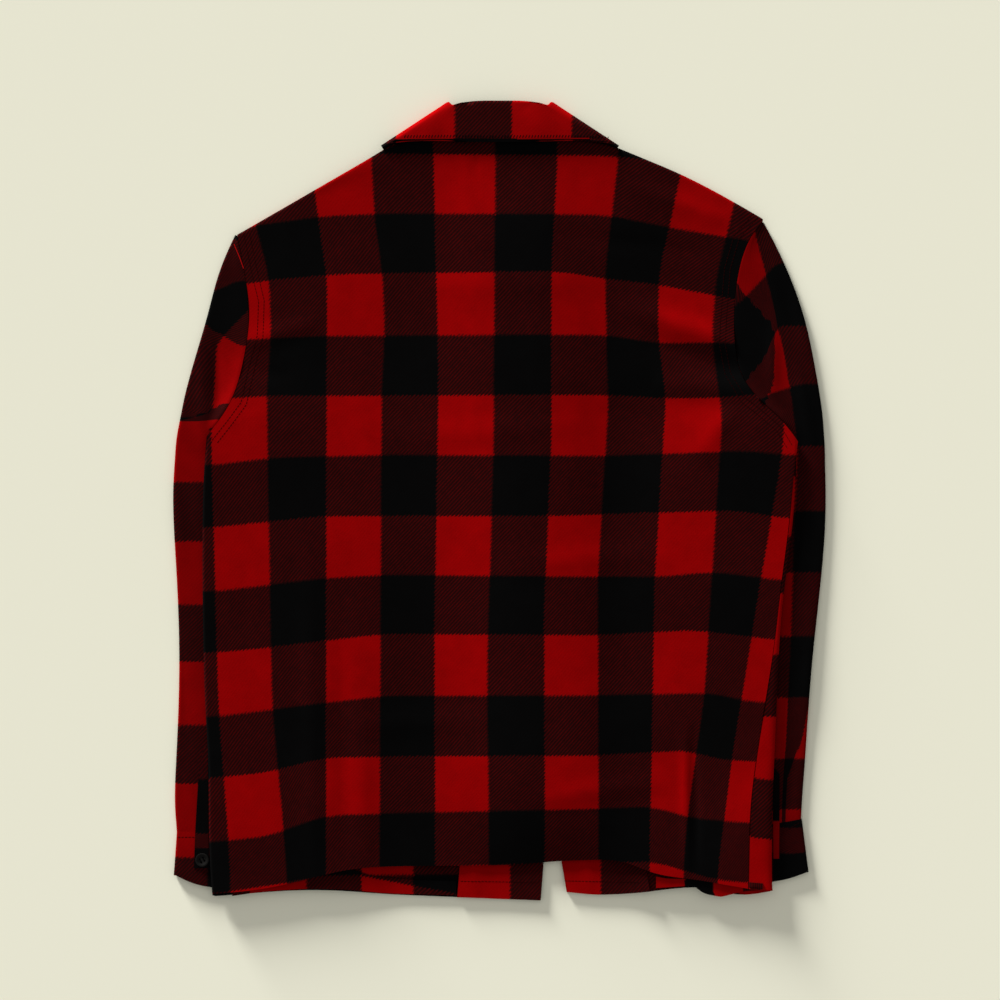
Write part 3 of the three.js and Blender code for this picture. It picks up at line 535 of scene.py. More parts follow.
def new_group(name, inputs, outputs):
    """An empty node group with named inputs and outputs."""
    group = bpy.data.node_groups.new(name, "ShaderNodeTree")
    for label, kind, value in inputs:
        socket = group.interface.new_socket(name=label, in_out="INPUT", socket_type=kind)
        if value is not None:
            socket.default_value = value
    for label, kind in outputs:
        group.interface.new_socket(name=label, in_out="OUTPUT", socket_type=kind)
    return group, group.nodes.new("NodeGroupInput"), group.nodes.new("NodeGroupOutput")


def add_math(tree, what, first, second=None, third=None):
    """One Math node, fed by sockets or plain numbers."""
    node = tree.nodes.new("ShaderNodeMath")
    node.operation = what
    for slot_number, value in enumerate((first, second, third)):
        if value is None:
            continue
        if isinstance(value, (int, float)):
            node.inputs[slot_number].default_value = value
        else:
            tree.links.new(value, node.inputs[slot_number])
    return node.outputs[0]


def add_noise(tree, vector, scale, detail=2.0, rough=0.5):
    """One noise pattern, as a value from 0 to 1."""
    node = tree.nodes.new("ShaderNodeTexNoise")
    node.inputs["Scale"].default_value = scale
    node.inputs["Detail"].default_value = detail
    node.inputs["Roughness"].default_value = rough
    tree.links.new(vector, node.inputs["Vector"])
    return node.outputs["Fac"]


# %% [markdown]
# ## The check group
# The group starts with the twill: ridges that run slantwise over the cloth.
# They also make the edges of the stripes stepped, as woven edges are, and a
# little noise makes them ragged, as the nap does.

# %% The twill of the check
check_group, given, result = new_group(
    "buffalo_check",
    [
        ("Place", "NodeSocketVector", None),
        ("Mixed", "NodeSocketFloat", 0.05),
        ("Lines", "NodeSocketFloat", 0.3),
    ],
    [("Red", "NodeSocketFloat"), ("Twill", "NodeSocketFloat")],
)
links = check_group.links
parts = check_group.nodes.new("ShaderNodeSeparateXYZ")
links.new(given.outputs["Place"], parts.inputs[0])
across_place = parts.outputs["X"]
down_place = parts.outputs["Y"]
slant = add_math(check_group, "ADD", across_place, down_place)
twill_wave = add_math(check_group, "FRACT", add_math(check_group, "MULTIPLY", slant, TWILL_LINES))
twill_ridge = add_math(
    check_group, "SUBTRACT", 1.0, add_math(check_group, "ABSOLUTE", add_math(
        check_group, "MULTIPLY_ADD", twill_wave, 2.0, -1.0))
)
tooth = add_math(check_group, "MULTIPLY_ADD", twill_ridge, 0.034, -0.017)
ragged = add_noise(check_group, given.outputs["Place"], 24.0, 2.0)
shift = add_math(
    check_group, "ADD", tooth, add_math(check_group, "MULTIPLY_ADD", ragged, 0.06, -0.03)
)


# %% [markdown]
# ## Stripes
# One function gives a soft edged wave: 1 in red stripes and 0 in black ones.
# It is used once across the cloth and once down it.

# %% The red stripes
def red_stripe(place):
    """1 in even stripes, 0 in odd ones, with slightly ragged edges."""
    moved = add_math(check_group, "ADD", place, shift)
    half = add_math(check_group, "MULTIPLY", moved, 0.5)
    wave = add_math(check_group, "SUBTRACT", half, add_math(check_group, "FLOOR", half))
    inner = add_math(
        check_group, "SUBTRACT", 0.25,
        add_math(check_group, "ABSOLUTE", add_math(check_group, "SUBTRACT", wave, 0.25)),
    )
    outer = add_math(check_group, "SUBTRACT", wave, 0.75)
    outer = add_math(check_group, "SUBTRACT", add_math(check_group, "ABSOLUTE", outer), 0.25)
    both = add_math(check_group, "MAXIMUM", inner, outer)
    soft = add_math(check_group, "MULTIPLY_ADD", both, 60.0, 0.5)
    return add_math(check_group, "MINIMUM", add_math(check_group, "MAXIMUM", soft, 0.0), 1.0)


red_across = red_stripe(across_place)
red_down = red_stripe(down_place)

# %% [markdown]
# ## Where the stripes cross
# Two red stripes give full red and two black ones give none. Where they
# differ, broken slanted lines of red show on black, patchy like real wool.

# %% Crossings of the check
both_red = add_math(check_group, "MULTIPLY", red_across, red_down)
one_red = add_math(
    check_group, "SUBTRACT", add_math(check_group, "ADD", red_across, red_down),
    add_math(check_group, "MULTIPLY", both_red, 2.0),
)
line_shape = add_math(check_group, "POWER", twill_ridge, 2.2)
patchy = add_math(
    check_group, "MULTIPLY_ADD", add_noise(check_group, given.outputs["Place"], 9.0, 4.0), 1.6, 0.2
)
broken = add_math(
    check_group, "MULTIPLY_ADD", add_noise(check_group, given.outputs["Place"], 55.0, 3.0, 0.7), 2.4, -0.2
)
lines_on = add_math(
    check_group, "MULTIPLY",
    add_math(check_group, "MULTIPLY", line_shape, add_math(check_group, "MULTIPLY", patchy, broken)),
    given.outputs["Lines"],
)
mixed = add_math(check_group, "ADD", lines_on, given.outputs["Mixed"])
total = add_math(check_group, "MULTIPLY_ADD", one_red, mixed, both_red)
links.new(total, result.inputs["Red"])
links.new(twill_ridge, result.inputs["Twill"])
print("nodes in the check:", len(check_group.nodes))

# %% [markdown]
# ## Nap
# The fibres stand up all over the cloth. Fine noise makes the fuzz, and a
# coarser one mottles it, so that a red square isn't one flat red.

# %% The nap of the wool
nap_group, given, result = new_group(
    "wool_nap",
    [("Place", "NodeSocketVector", None), ("Strength", "NodeSocketFloat", 0.2)],
    [("Shade", "NodeSocketFloat"), ("Height", "NodeSocketFloat")],
)
fuzz = add_noise(nap_group, given.outputs["Place"], 900.0, 3.0, 0.6)
mottle = add_noise(nap_group, given.outputs["Place"], 60.0, 3.0, 0.5)
felted = add_math(nap_group, "ADD", fuzz, add_math(nap_group, "MULTIPLY", mottle, 0.8))
shade = add_math(
    nap_group, "MULTIPLY_ADD",
    add_math(nap_group, "MULTIPLY_ADD", felted, 1.0, -0.9), given.outputs["Strength"], 1.0,
)
nap_group.links.new(shade, result.inputs["Shade"])
nap_group.links.new(fuzz, result.inputs["Height"])

# %% [markdown]
# ## The wool
# Wool scatters light softly, and this one is strong in colour: deep red and
# a black that is nearly neutral. It has next to no shine.
# Fine relief from twill and nap keeps it from looking like paper.

# %% Wool materials
BLACK_WOOL = (0.0016, 0.0015, 0.0015)


def wool(name, red, mixed_base, mixed_lines, nap=0.45):
    """A wool cloth in buffalo check, with its own depth of red."""
    material = bpy.data.materials.new(name)
    material.use_nodes = True
    tree = material.node_tree
    shader = tree.nodes["Principled BSDF"]
    shader.inputs["Roughness"].default_value = 0.95
    shader.inputs["Specular IOR Level"].default_value = 0.012
    place = tree.nodes.new("ShaderNodeUVMap")
    place.uv_map = "cloth"
    where = tree.nodes.new("ShaderNodeTexCoord")
    pattern = tree.nodes.new("ShaderNodeGroup")
    pattern.node_tree = check_group
    pattern.inputs["Mixed"].default_value = mixed_base
    pattern.inputs["Lines"].default_value = mixed_lines
    tree.links.new(place.outputs["UV"], pattern.inputs["Place"])
    fibres = tree.nodes.new("ShaderNodeGroup")
    fibres.node_tree = nap_group
    fibres.inputs["Strength"].default_value = nap
    tree.links.new(where.outputs["Object"], fibres.inputs["Place"])
    blend = tree.nodes.new("ShaderNodeMix")
    blend.data_type = "RGBA"
    blend.inputs["A"].default_value = (*BLACK_WOOL, 1)
    blend.inputs["B"].default_value = (*red, 1)
    blend.clamp_factor = True
    tree.links.new(pattern.outputs["Red"], blend.inputs["Factor"])
    shaded = tree.nodes.new("ShaderNodeMix")
    shaded.data_type = "RGBA"
    shaded.blend_type = "MULTIPLY"
    shaded.inputs["Factor"].default_value = 1.0
    tree.links.new(blend.outputs["Result"], shaded.inputs["A"])
    tree.links.new(fibres.outputs["Shade"], shaded.inputs["B"])
    tree.links.new(shaded.outputs["Result"], shader.inputs["Base Color"])
    relief = add_math(
        tree, "MULTIPLY_ADD", pattern.outputs["Twill"], 0.35, fibres.outputs["Height"]
    )
    bump = tree.nodes.new("ShaderNodeBump")
    bump.inputs["Strength"].default_value = 0.15
    bump.inputs["Distance"].default_value = 0.0003
    tree.links.new(relief, bump.inputs["Height"])
    tree.links.new(bump.outputs["Normal"], shader.inputs["Normal"])
    return material


body_wool = wool("body_wool", (0.215, 0.0003, 0.0006), 0.035, 0.19)
sleeve_wool = wool("sleeve_wool", (0.155, 0.0003, 0.0005), 0.05, 0.2)
print("wool materials:", body_wool.name, sleeve_wool.name)

# %% [markdown]
# ## The back
# One panel from collar to hem, face up. It runs over the sleeves and fronts,
# so it has a soft step above each of them.


def finish_cloth(sheet, name, material):
    """Gives the sheet its thickness, finish and place in the frame. The table stops it."""
    use_modifier(sheet, "SOLIDIFY", thickness=CLOTH, offset=-1.0, use_even_offset=False)
    for vertex in sheet.data.vertices:
        vertex.co.z = max(vertex.co.z, 0)
    sheet.data.materials.clear()
    sheet.data.materials.append(material)
    pick_only(sheet)
    bpy.ops.object.shade_smooth_by_angle(angle=math.radians(50))
    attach(sheet, "root")
    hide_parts(name)
    area = sum(face.area for face in sheet.data.polygons) / 2
    triangles = sum(len(face.vertices) - 2 for face in sheet.data.polygons)
    print(name, "area", round(area, 4), "m2, triangles", triangles)
    return sheet


def cloth_piece(
    name, side, place_of, material, seed, share=1.0, plain=False, levels=2,
    tip=None, tuck=None, held=None,
):
    """One cut piece, from its solid to its finish."""
    sheet = outer_sheet(name, side, plain)
    if tip:
        reach_tip(sheet, *tip)
    keep_corners(sheet, held)
    rounding = {"levels": levels, "render_levels": levels}
    rounding["boundary_smooth"] = "PRESERVE_CORNERS"
    use_modifier(sheet, "SUBSURF", **rounding)
    write_check(sheet, place_of)
    if tuck:
        tuck_end(sheet, *tuck)
    lay_creases(sheet, name, seed, share)
    return finish_cloth(sheet, name, material)


back = cloth_piece(
    "back", 1, flat_on(back_chart), body_wool, 0.4, plain=True, levels=3
)

# %% [markdown]
# ## Sleeves and cuffs
# A sleeve is one piece, folded at its outer edge and seamed under the arm.
# Laid flat it is a tube with two soft folds, so the whole outside is kept.
# The check runs round the outer fold on to the under layer, as on the arm.

# %% Sleeves and cuffs
FOLD_REACH = 2.2


def unrolled(name, side, lines):
    """Place on the check for a flattened tube, carried round its outer fold."""
    solid = nodes[name]
    rows = {}
    for vertex in solid.data.vertices:
        spot = solid.matrix_world @ vertex.co
        row = round(spot.y / MM / 10)
        rows[row] = max(rows.get(row, -1e9), spot.x * side / MM)

    def place_of(x, y, z):
        reach = [rows[r] for r in (round(y / 10) + d for d in (-1, 0, 1)) if r in rows]
        edge = max(reach) if reach else x * side
        if z >= FOLD_REACH:
            return check_place(lines, x, y)
        mirrored = side * (2 * edge - x * side + 2)
        return check_place(lines, mirrored, y)

    return place_of


sleeve_left = cloth_piece(
    "sleeve_left", 1, unrolled("sleeve_left", -1, sleeve_left_chart), sleeve_wool, 1.3,
    tip=(244.5, (-251.8, 254.2)), tuck=(-312.5, 3.0, 2.2),
)
sleeve_right = cloth_piece(
    "sleeve_right", 1, unrolled("sleeve_right", 1, sleeve_right_chart), sleeve_wool, 2.1,
    tip=(249, (252.6, 266.8)), tuck=(-302, 2.6, 2.2),
)
cuff_left = cloth_piece(
    "cuff_left", 1, unrolled("cuff_left", -1, sleeve_left_chart), sleeve_wool, 3.0
)
cuff_right = cloth_piece(
    "cuff_right", 1, unrolled("cuff_right", 1, cuff_right_chart), sleeve_wool, 3.6
)

# %% [markdown]
# ## Fronts and facings
# The fronts lie face down, so their outer side is the lower one.
# Their facings lie on them along the front edges, wrong side up.

# %% Fronts and facings
front_left = cloth_piece("front_left", -1, flat_on(front_left_chart), body_wool, 4.2)
front_right = cloth_piece("front_right", -1, flat_on(front_right_chart), body_wool, 5.0)
facing_left = cloth_piece("facing_left", 1, flat_on(facing_left_chart), body_wool, 4.2)
facing_right = cloth_piece("facing_right", 1, flat_on(facing_right_chart), body_wool, 5.0)

# %% [markdown]
# ## Collar
# The stand rises from the neck seam, and the leaf is turned down over it.

# %% Collar and stand
ROLL_TOP = 379.3
ROLL_CORNERS = (30, 52)

cloth_piece("collar_stand", 1, flat_on(collar_chart), body_wool, 6.0, 0.3)
collar = cloth_piece(
    "collar", 1, flat_on(collar_chart), body_wool, 6.4,
    held=lambda x, y: y > ROLL_TOP and ROLL_CORNERS[0] < abs(x) < ROLL_CORNERS[1],
)

# %% [markdown]
# ## Tools for laying things on the cloth
# Hems, stitches and buttons sit on cloth that is nowhere quite flat.
# So the top of the cloth is looked up below each point, as a hand would feel
# for it, and the piece is laid there.

# %% Finding the top of the cloth and walking along a line
def tops_of(*things):
    """Search trees of the pieces that something is laid on."""
    bpy.context.view_layer.update()
    ready = bpy.context.evaluated_depsgraph_get()
    return [BVHTree.FromObject(thing, ready) for thing in things]


def height_at(trees, x, y, default):
    """Top of the cloth at a place in millimetres, or the default where there is none."""
    found = []
    for tree in trees:
        spot = tree.ray_cast(Vector((x * MM, y * MM, 0.05)), Vector((0, 0, -1)))[0]
        if spot:
            found.append(spot.z / MM)
    return max(found) if found else default


def walk(line, pitch):
    """Points at even distances along a line, each with its direction."""
    stops = []
    carried = pitch / 2
    for (x0, y0), (x1, y1) in zip(line, line[1:]):
        length = math.hypot(x1 - x0, y1 - y0)
        turn = math.atan2(y1 - y0, x1 - x0)
        while carried <= length:
            share = carried / length
            stops.append((x0 + (x1 - x0) * share, y0 + (y1 - y0) * share, turn))
            carried += pitch
        carried -= length
    return stops


def beside(line, distance):
    """The same line moved sideways, to its left where the distance is above zero."""
    moved = []
    for step, (x, y) in enumerate(line):
        before = line[max(step - 1, 0)]
        after = line[min(step + 1, len(line) - 1)]
        turn = math.atan2(after[1] - before[1], after[0] - before[0])
        moved.append((x - math.sin(turn) * distance, y + math.cos(turn) * distance))
    return moved


# %% [markdown]
# ## Turned hems and vents
# The fronts' hems are turned up inside and stitched down, which shows below
# the shorter back hem. Each sleeve has a vent above its cuff, faced with a
# narrow strip whose check doesn't meet the sleeve's.
# A strip is laid between two edges and given its own thickness upwards.

# %% Laying strips
STRIP_STEPS = 4
STRIP_POINTS = 24
CLEAR = 0.03
FIRST_LEVEL = 4.0


def evenly(line, count):
    """A line as this many points at even distances."""
    length = sum(math.dist(a, b) for a, b in zip(line, line[1:]))
    points = [line[0]]
    points += [(x, y) for x, y, turn in walk(line, length / (count - 2))][: count - 2]
    points.append(line[-1])
    return points


def lay_strip(name, upper, lower, trees, thickness, place_of, material):
    """A narrow strip of cloth between two edges, laid on what is below it."""
    tops = evenly(upper, STRIP_POINTS)
    feet = evenly(lower, STRIP_POINTS)
    corners = []
    level = height_at(trees, *tops[STRIP_POINTS // 2], FIRST_LEVEL)
    for top, foot in zip(tops, feet):
        for step in range(STRIP_STEPS + 1):
            share = step / STRIP_STEPS
            x = top[0] + (foot[0] - top[0]) * share
            y = top[1] + (foot[1] - top[1]) * share
            level = height_at(trees, x, y, level)
            corners.append((x * MM, y * MM, (level + CLEAR) * MM))
    wide = STRIP_STEPS + 1
    faces = []
    for row in range(STRIP_POINTS - 1):
        for step in range(STRIP_STEPS):
            at = row * wide + step
            faces.append((at, at + 1, at + wide + 1, at + wide))
    mesh = bpy.data.meshes.new(name)
    mesh.from_pydata(corners, [], faces)
    mesh.update()
    if mesh.polygons[0].normal.z < 0:
        mesh.flip_normals()
    strip = bpy.data.objects.new(name, mesh)
    bpy.context.scene.collection.objects.link(strip)
    use_modifier(strip, "SUBSURF", levels=1, render_levels=1, boundary_smooth="PRESERVE_CORNERS")
    write_check(strip, place_of)
    use_modifier(strip, "SOLIDIFY", thickness=thickness * MM, offset=1.0)
    strip.data.materials.append(material)
    pick_only(strip)
    bpy.ops.object.shade_smooth_by_angle(angle=math.radians(50))
    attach(strip, "root")
    print(name, "triangles", len(strip.data.polygons) * 2)
    return strip


# %% [markdown]
# ## Hems
# Each front's hem is turned up inside, and 5 to 20 mm of it shows.
# Its columns run on from the check, and its rows are its own.

# %% Hem strips of the fronts
HEM_THICKNESS = 1.1
STRIPE_TALL = 60


def hem_left_row(x):
    """Height of the line where the left hem's inside turns from black to red."""
    return -359.5 - max(x + 133, 0) * 0.2


left_front_top = tops_of(front_left)
right_front_top = tops_of(front_right)
hem_left = lay_strip(
    "hem_left",
    [(-256, -362), (-200, -356), (-164, -353.6), (-152, -351), (-133, -355.4),
     (-123, -359.7), (-86, -363.6), (-41.5, -365)],
    [(-256, -378.5), (-228, -374.5), (-186, -371.5), (-148, -372.5), (-108, -376.5),
     (-41.5, -378.6)],
    left_front_top, HEM_THICKNESS,
    lambda x, y, z: (check_place(front_left_chart, x, y)[0], 6 + (hem_left_row(x) - y) / STRIPE_TALL),
    body_wool,
)
hem_right = lay_strip(
    "hem_right",
    [(150, -360), (160, -362), (187, -362), (207, -362.5), (228, -364), (252, -366)],
    [(150, -371), (186, -368.4), (195, -376), (212, -379.4), (239, -372.4), (252, -371.4)],
    right_front_top, HEM_THICKNESS,
    lambda x, y, z: (index_among([126, 178, 205, 233, 262], x), 0.5 + (178 < x < 205)),
    body_wool,
)

# %% [markdown]
# ## Vents
# The slit above each cuff is faced with a strip a few millimetres wide. It
# was cut from another part of the cloth, so its stripes don't meet the sleeve's.

# %% Vent strips of the sleeves
VENT_THICKNESS = 0.7
VENT_EDGE = -292
VENT_MIDDLE = -307

left_sleeve_top = tops_of(sleeve_left, cuff_left)
right_sleeve_top = tops_of(sleeve_right, cuff_right)


def vent_left_rows(y):
    """Twill, black, twill, black down the strip: its column is black."""
    return index_among([-400, -332, -320, -267, -200], y)


vent_left = lay_strip(
    "vent_left",
    [(-284, -236), (-289, -270.5), (-291.8, -319.4), (-292.8, -352)],
    [(-279.6, -236), (-279.4, -270), (-279, -319), (-278.6, -352)],
    left_sleeve_top, VENT_THICKNESS,
    lambda x, y, z: (1.1 + (x - VENT_EDGE) / CHECK_WIDE, 4 - vent_left_rows(y)),
    sleeve_wool,
)
vent_right = lay_strip(
    "vent_right",
    [(261.8, -254), (262.2, -300), (262.6, -343)],
    [(268.4, -262), (268.4, -300), (268, -343)],
    right_sleeve_top, VENT_THICKNESS,
    lambda x, y, z: (1 + (y - VENT_MIDDLE) / STRIPE_TALL, 2 - (y - VENT_MIDDLE) / STRIPE_TALL),
    sleeve_wool,
)

# %% [markdown]
# ## Stitches
# Two rows of stitching hold down each armhole seam, and one row holds the hem
# of each facing and the edge of each cuff. Thread is cotton or polyester, and
# hardly shines. Three plain finishes cover its colours.

# %% Thread
def plain_finish(name, colour, rough, shine):
    """A plain finish of one colour."""
    material = bpy.data.materials.new(name)
    material.use_nodes = True
    shader = material.node_tree.nodes["Principled BSDF"]
    shader.inputs["Base Color"].default_value = (*colour, 1)
    shader.inputs["Roughness"].default_value = rough
    shader.inputs["Specular IOR Level"].default_value = shine
    return material


black_thread = plain_finish("black_thread", (0.0012, 0.001, 0.001), 0.9, 0.01)
dark_red_thread = plain_finish("dark_red_thread", (0.012, 0.0006, 0.0006), 0.9, 0.01)
red_thread = plain_finish("red_thread", (0.3, 0.002, 0.002), 0.9, 0.02)

# %% [markdown]
# ## One stitch, and a row of them
# A stitch is a small rounded bar. It is modelled once, and its corners and
# faces are then repeated along each line, on top of the cloth.

# %% One stitch
bpy.ops.object.select_all(action="DESELECT")
bpy.ops.mesh.primitive_cube_add(size=1, location=(0, 0, 0))
one_stitch = bpy.context.object
bpy.ops.object.mode_set(mode="EDIT")
bpy.ops.mesh.select_all(action="SELECT")
bpy.ops.mesh.bevel(offset=0.22, segments=1, affect="EDGES")
bpy.ops.object.mode_set(mode="OBJECT")
stitch_corners = [vertex.co.copy() for vertex in one_stitch.data.vertices]
stitch_faces = [tuple(face.vertices) for face in one_stitch.data.polygons]
bpy.data.objects.remove(one_stitch)
print("faces of one stitch:", len(stitch_faces))


def sew(name, line, trees, material, length=2.6, width=0.55, pitch=3.3, slant=0.0, height=0.3):
    """Copies of one stitch along a line, joined into one piece."""
    corners = []
    faces = []
    level = None
    for x, y, turn in walk(line, pitch):
        level = height_at(trees, x, y, level)
        if level is None:
            continue
        turn += slant
        start = len(corners)
        for corner in stitch_corners:
            along = corner.x * length
            aside = corner.y * width
            corners.append((
                (x + along * math.cos(turn) - aside * math.sin(turn)) * MM,
                (y + along * math.sin(turn) + aside * math.cos(turn)) * MM,
                (level + corner.z * height) * MM,
            ))
        faces += [tuple(start + index for index in face) for face in stitch_faces]
    mesh = bpy.data.meshes.new(name)
    mesh.from_pydata(corners, [], faces)
    mesh.update()
    seam = bpy.data.objects.new(name, mesh)
    bpy.context.scene.collection.objects.link(seam)
    seam.data.materials.append(material)
    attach(seam, "root")
    print(name, "stitches", len(faces) // len(stitch_faces))
    return seam


# %% [markdown]
# ## Edge of the collar
# The leaf's edge carries a flat black strip. It is partly the black thread that binds the edge and partly
# painted shade for the dark gap under the leaf.
# Two short narrow strips of red wool show just above it.

# %% Edge of the collar leaf
leaf_top = tops_of(collar)
# Painted shade: this black strip darkens the leaf's last few millimetres, where the gap under its edge
# lies in shadow. Only part of it is binding thread.
collar_edge_and_shade = lay_strip(
    "collar_edge_thread_and_painted_shade",
    [(-100, 345.6), (-54, 346.8), (0, 346.4), (60, 346.8), (108, 343.6)],
    [(-104, 341.6), (-54, 343.6), (0, 343.1), (60, 343.6), (110, 339.6)],
    leaf_top, 0.4, lambda x, y, z: (1.5, 1.5), black_thread,
)
collar_lips = [
    lay_strip(
        f"collar_lip_{side}", [(start, 346.9), (end, 347.1)], [(start, 345.8), (end, 346.2)],
        leaf_top, 0.7, lambda x, y, z: (0.5, 0.5), sleeve_wool,
    )
    for side, start, end in (("left", -81, -44), ("right", 17, 86))
]

# %% [markdown]
# ## Rows of stitches
# The armhole rows run beside the seam, one 6.5 mm and one 12 mm from it. The
# collar's edge is overlocked with short slanted black stitches, and the left
# sleeve's seam shows a few red ones at the shoulder.

# %% Stitching on the back, fronts, cuffs and collar
ARMHOLE_LEFT = [
    (-251.5, 254.7), (-244.5, 219.7), (-237.5, 190.7), (-238.5, 159.7),
    (-246.5, 129.7), (-253.5, 96.7), (-265.5, 80.7), (-280.5, 61.7),
]
ARMHOLE_RIGHT = [
    (252.5, 267.7), (235.5, 248.7), (227.5, 220.7), (224.5, 182.7), (222.5, 151.7),
    (227.5, 124.7), (240.5, 102.7), (257.5, 89.7), (274.5, 74.7), (285.5, 56.7),
]
back_top = tops_of(back)
stitch_rows = {"back": [], "front_left": [], "front_right": [], "cuff_left": [], "cuff_right": []}
for step, distance in enumerate((6.5, 12.0)):
    row = sew(f"armhole_left_row_{step + 1}", beside(ARMHOLE_LEFT, distance), back_top, dark_red_thread)
    stitch_rows["back"].append(row)
    row = sew(f"armhole_right_row_{step + 1}", beside(ARMHOLE_RIGHT, -distance), back_top, dark_red_thread)
    stitch_rows["back"].append(row)
facing_tops = tops_of(facing_left, facing_right)
stitch_rows["front_left"].append(sew(
    "hem_row_left", [(-41, -364.8), (38, -366)], facing_tops, dark_red_thread))
stitch_rows["front_right"].append(sew(
    "hem_row_right", [(62, -364.5), (136, -366)], facing_tops, dark_red_thread))
stitch_rows["cuff_left"].append(sew(
    "cuff_row_left", [(-312, -322.5), (-290, -322.5)], tops_of(cuff_left), dark_red_thread))
stitch_rows["cuff_right"].append(sew(
    "cuff_row_right", [(271, -318.5), (289, -308)], tops_of(cuff_right), dark_red_thread))
overlock = sew(
    "collar_overlock", [(-92, 348.4), (-54, 348.8), (0, 348.4), (60, 348.8), (104, 347.5)],
    leaf_top, black_thread, length=3.0, width=0.8, pitch=2.9, slant=math.radians(62),
)
sew(
    "sleeve_seam_left", [(-254.4, 246), (-249, 233), (-244.6, 221)],
    tops_of(sleeve_left, back), red_thread, length=3.2, width=0.8, pitch=2.8,
)

# %% [markdown]
# ## Buttons
# The shirt is buttoned, so its buttons lie face down under the left front.
# A shirt button is turned from dark resin: a disc with a dished face, a thick
# rim and four holes. One is modelled and then copied, and thread crosses it.

# %% One button
button_resin = plain_finish("button_resin", (0.004, 0.0035, 0.003), 0.55, 0.06)
HOLE_PLACE = 1.7
HOLE_RADIUS = 0.9
DISH = 0.5


def turn_button(radius, height):
    """A dished button with four holes, face up, on the origin."""
    bpy.ops.object.select_all(action="DESELECT")
    bpy.ops.mesh.primitive_cylinder_add(
        vertices=48, radius=radius * MM, depth=height * MM, location=(0, 0, height * MM / 2)
    )
    button = bpy.context.object
    settle_place(button)
    bpy.ops.object.mode_set(mode="EDIT")
    bpy.ops.mesh.select_mode(type="FACE")
    bpy.ops.mesh.select_all(action="DESELECT")
    shape = bmesh.from_edit_mesh(button.data)
    for face in shape.faces:
        face.select = face.normal.z > 0.9
    bmesh.update_edit_mesh(button.data)
    bpy.ops.mesh.inset(thickness=radius * 0.3 * MM, depth=0)
    bpy.ops.mesh.inset(thickness=radius * 0.1 * MM, depth=-DISH * MM)
    bpy.ops.object.mode_set(mode="OBJECT")
    for x in (-1, 1):
        for y in (-1, 1):
            bpy.ops.mesh.primitive_cylinder_add(
                vertices=16, radius=HOLE_RADIUS * MM, depth=0.02,
                location=(x * HOLE_PLACE * MM, y * HOLE_PLACE * MM, 0),
            )
            drill = bpy.context.object
            use_modifier(button, "BOOLEAN", object=drill, operation="DIFFERENCE", solver="EXACT")
            bpy.data.objects.remove(drill)
    use_modifier(
        button, "BEVEL", width=0.35 * MM, segments=2, limit_method="ANGLE",
        angle_limit=math.radians(50),
    )
    pick_only(button)
    bpy.ops.object.shade_smooth_by_angle(angle=math.radians(40))
    button.data.materials.append(button_resin)
    return button


# %% [markdown]
# ## Thread and copies
# Two short bars of black thread cross the holes. Button and thread are
# copied, turned over where they lie face down, and put in their places.

# %% Button thread and copies
def turn_thread(height):
    """Two bars of thread through the four holes."""
    bars = []
    for x in (-1, 1):
        bpy.ops.object.select_all(action="DESELECT")
        bpy.ops.mesh.primitive_uv_sphere_add(
            segments=12, ring_count=8, radius=1,
            location=(x * HOLE_PLACE * MM, 0, (height - DISH) * MM),
        )
        bar = bpy.context.object
        bar.scale = (0.6 * MM, 2.5 * MM, 0.35 * MM)
        settle_place(bar)
        bars.append(bar)
    bpy.ops.object.select_all(action="DESELECT")
    for bar in bars:
        bar.select_set(True)
    bpy.context.view_layer.objects.active = bars[0]
    bpy.ops.object.join()
    bars[0].data.materials.append(black_thread)
    return bars[0]


def place_copy(source, name, spot, face_down, turn):
    """A copy with its own mesh, turned over if it lies face down."""
    copy = source.copy()
    copy.data = source.data.copy()
    copy.name = name
    bpy.context.scene.collection.objects.link(copy)
    copy.rotation_euler = (math.pi if face_down else 0, 0, turn)
    copy.location = spot
    settle_place(copy)
    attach(copy, "root")
    return copy


# %% [markdown]
# ## The buttons in their places
# Six buttons close the front, 18 mm wide, and one of 13 mm closes each cuff.
# Each takes its place from its plain solid, and no two are turned alike in front.

# %% The buttons in their places
FRONT_RADIUS = 9.0
FRONT_HEIGHT = 2.4
CUFF_RADIUS = 6.5
CUFF_HEIGHT = 2.0
TURN_STEP = 0.35
CUFF_TURN = 0.5

front_button = turn_button(FRONT_RADIUS, FRONT_HEIGHT)
front_thread = turn_thread(FRONT_HEIGHT)
for number in range(1, 7):
    low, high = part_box(f"button_{number}")
    spot = ((low.x + high.x) / 2, (low.y + high.y) / 2, high.z)
    turn = TURN_STEP * number
    button = place_copy(front_button, f"button_{number}_turned", spot, True, turn)
    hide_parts(f"button_{number}")
    place_copy(front_thread, f"button_{number}_thread", spot, True, turn)
bpy.data.objects.remove(front_button)
bpy.data.objects.remove(front_thread)
cuff_button = turn_button(CUFF_RADIUS, CUFF_HEIGHT)
cuff_thread = turn_thread(CUFF_HEIGHT)
for side in ("left", "right"):
    low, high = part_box(f"cuff_button_{side}")
    spot = ((low.x + high.x) / 2, (low.y + high.y) / 2, low.z)
    button = place_copy(cuff_button, f"cuff_button_{side}_turned", spot, False, CUFF_TURN)
    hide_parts(f"cuff_button_{side}")
    place_copy(cuff_thread, f"cuff_button_{side}_thread", spot, False, CUFF_TURN)
bpy.data.objects.remove(cuff_button)
bpy.data.objects.remove(cuff_thread)
print("buttons placed:", number, "in front and 2 on the cuffs")

# %% [markdown]
# ## Floor and light
# The shirt lies on a pale cream table, lit from above the collar and a little
# from the left. The light comes in low, so even thin layers throw a shadow,
# and the bright room keeps that shadow pale.

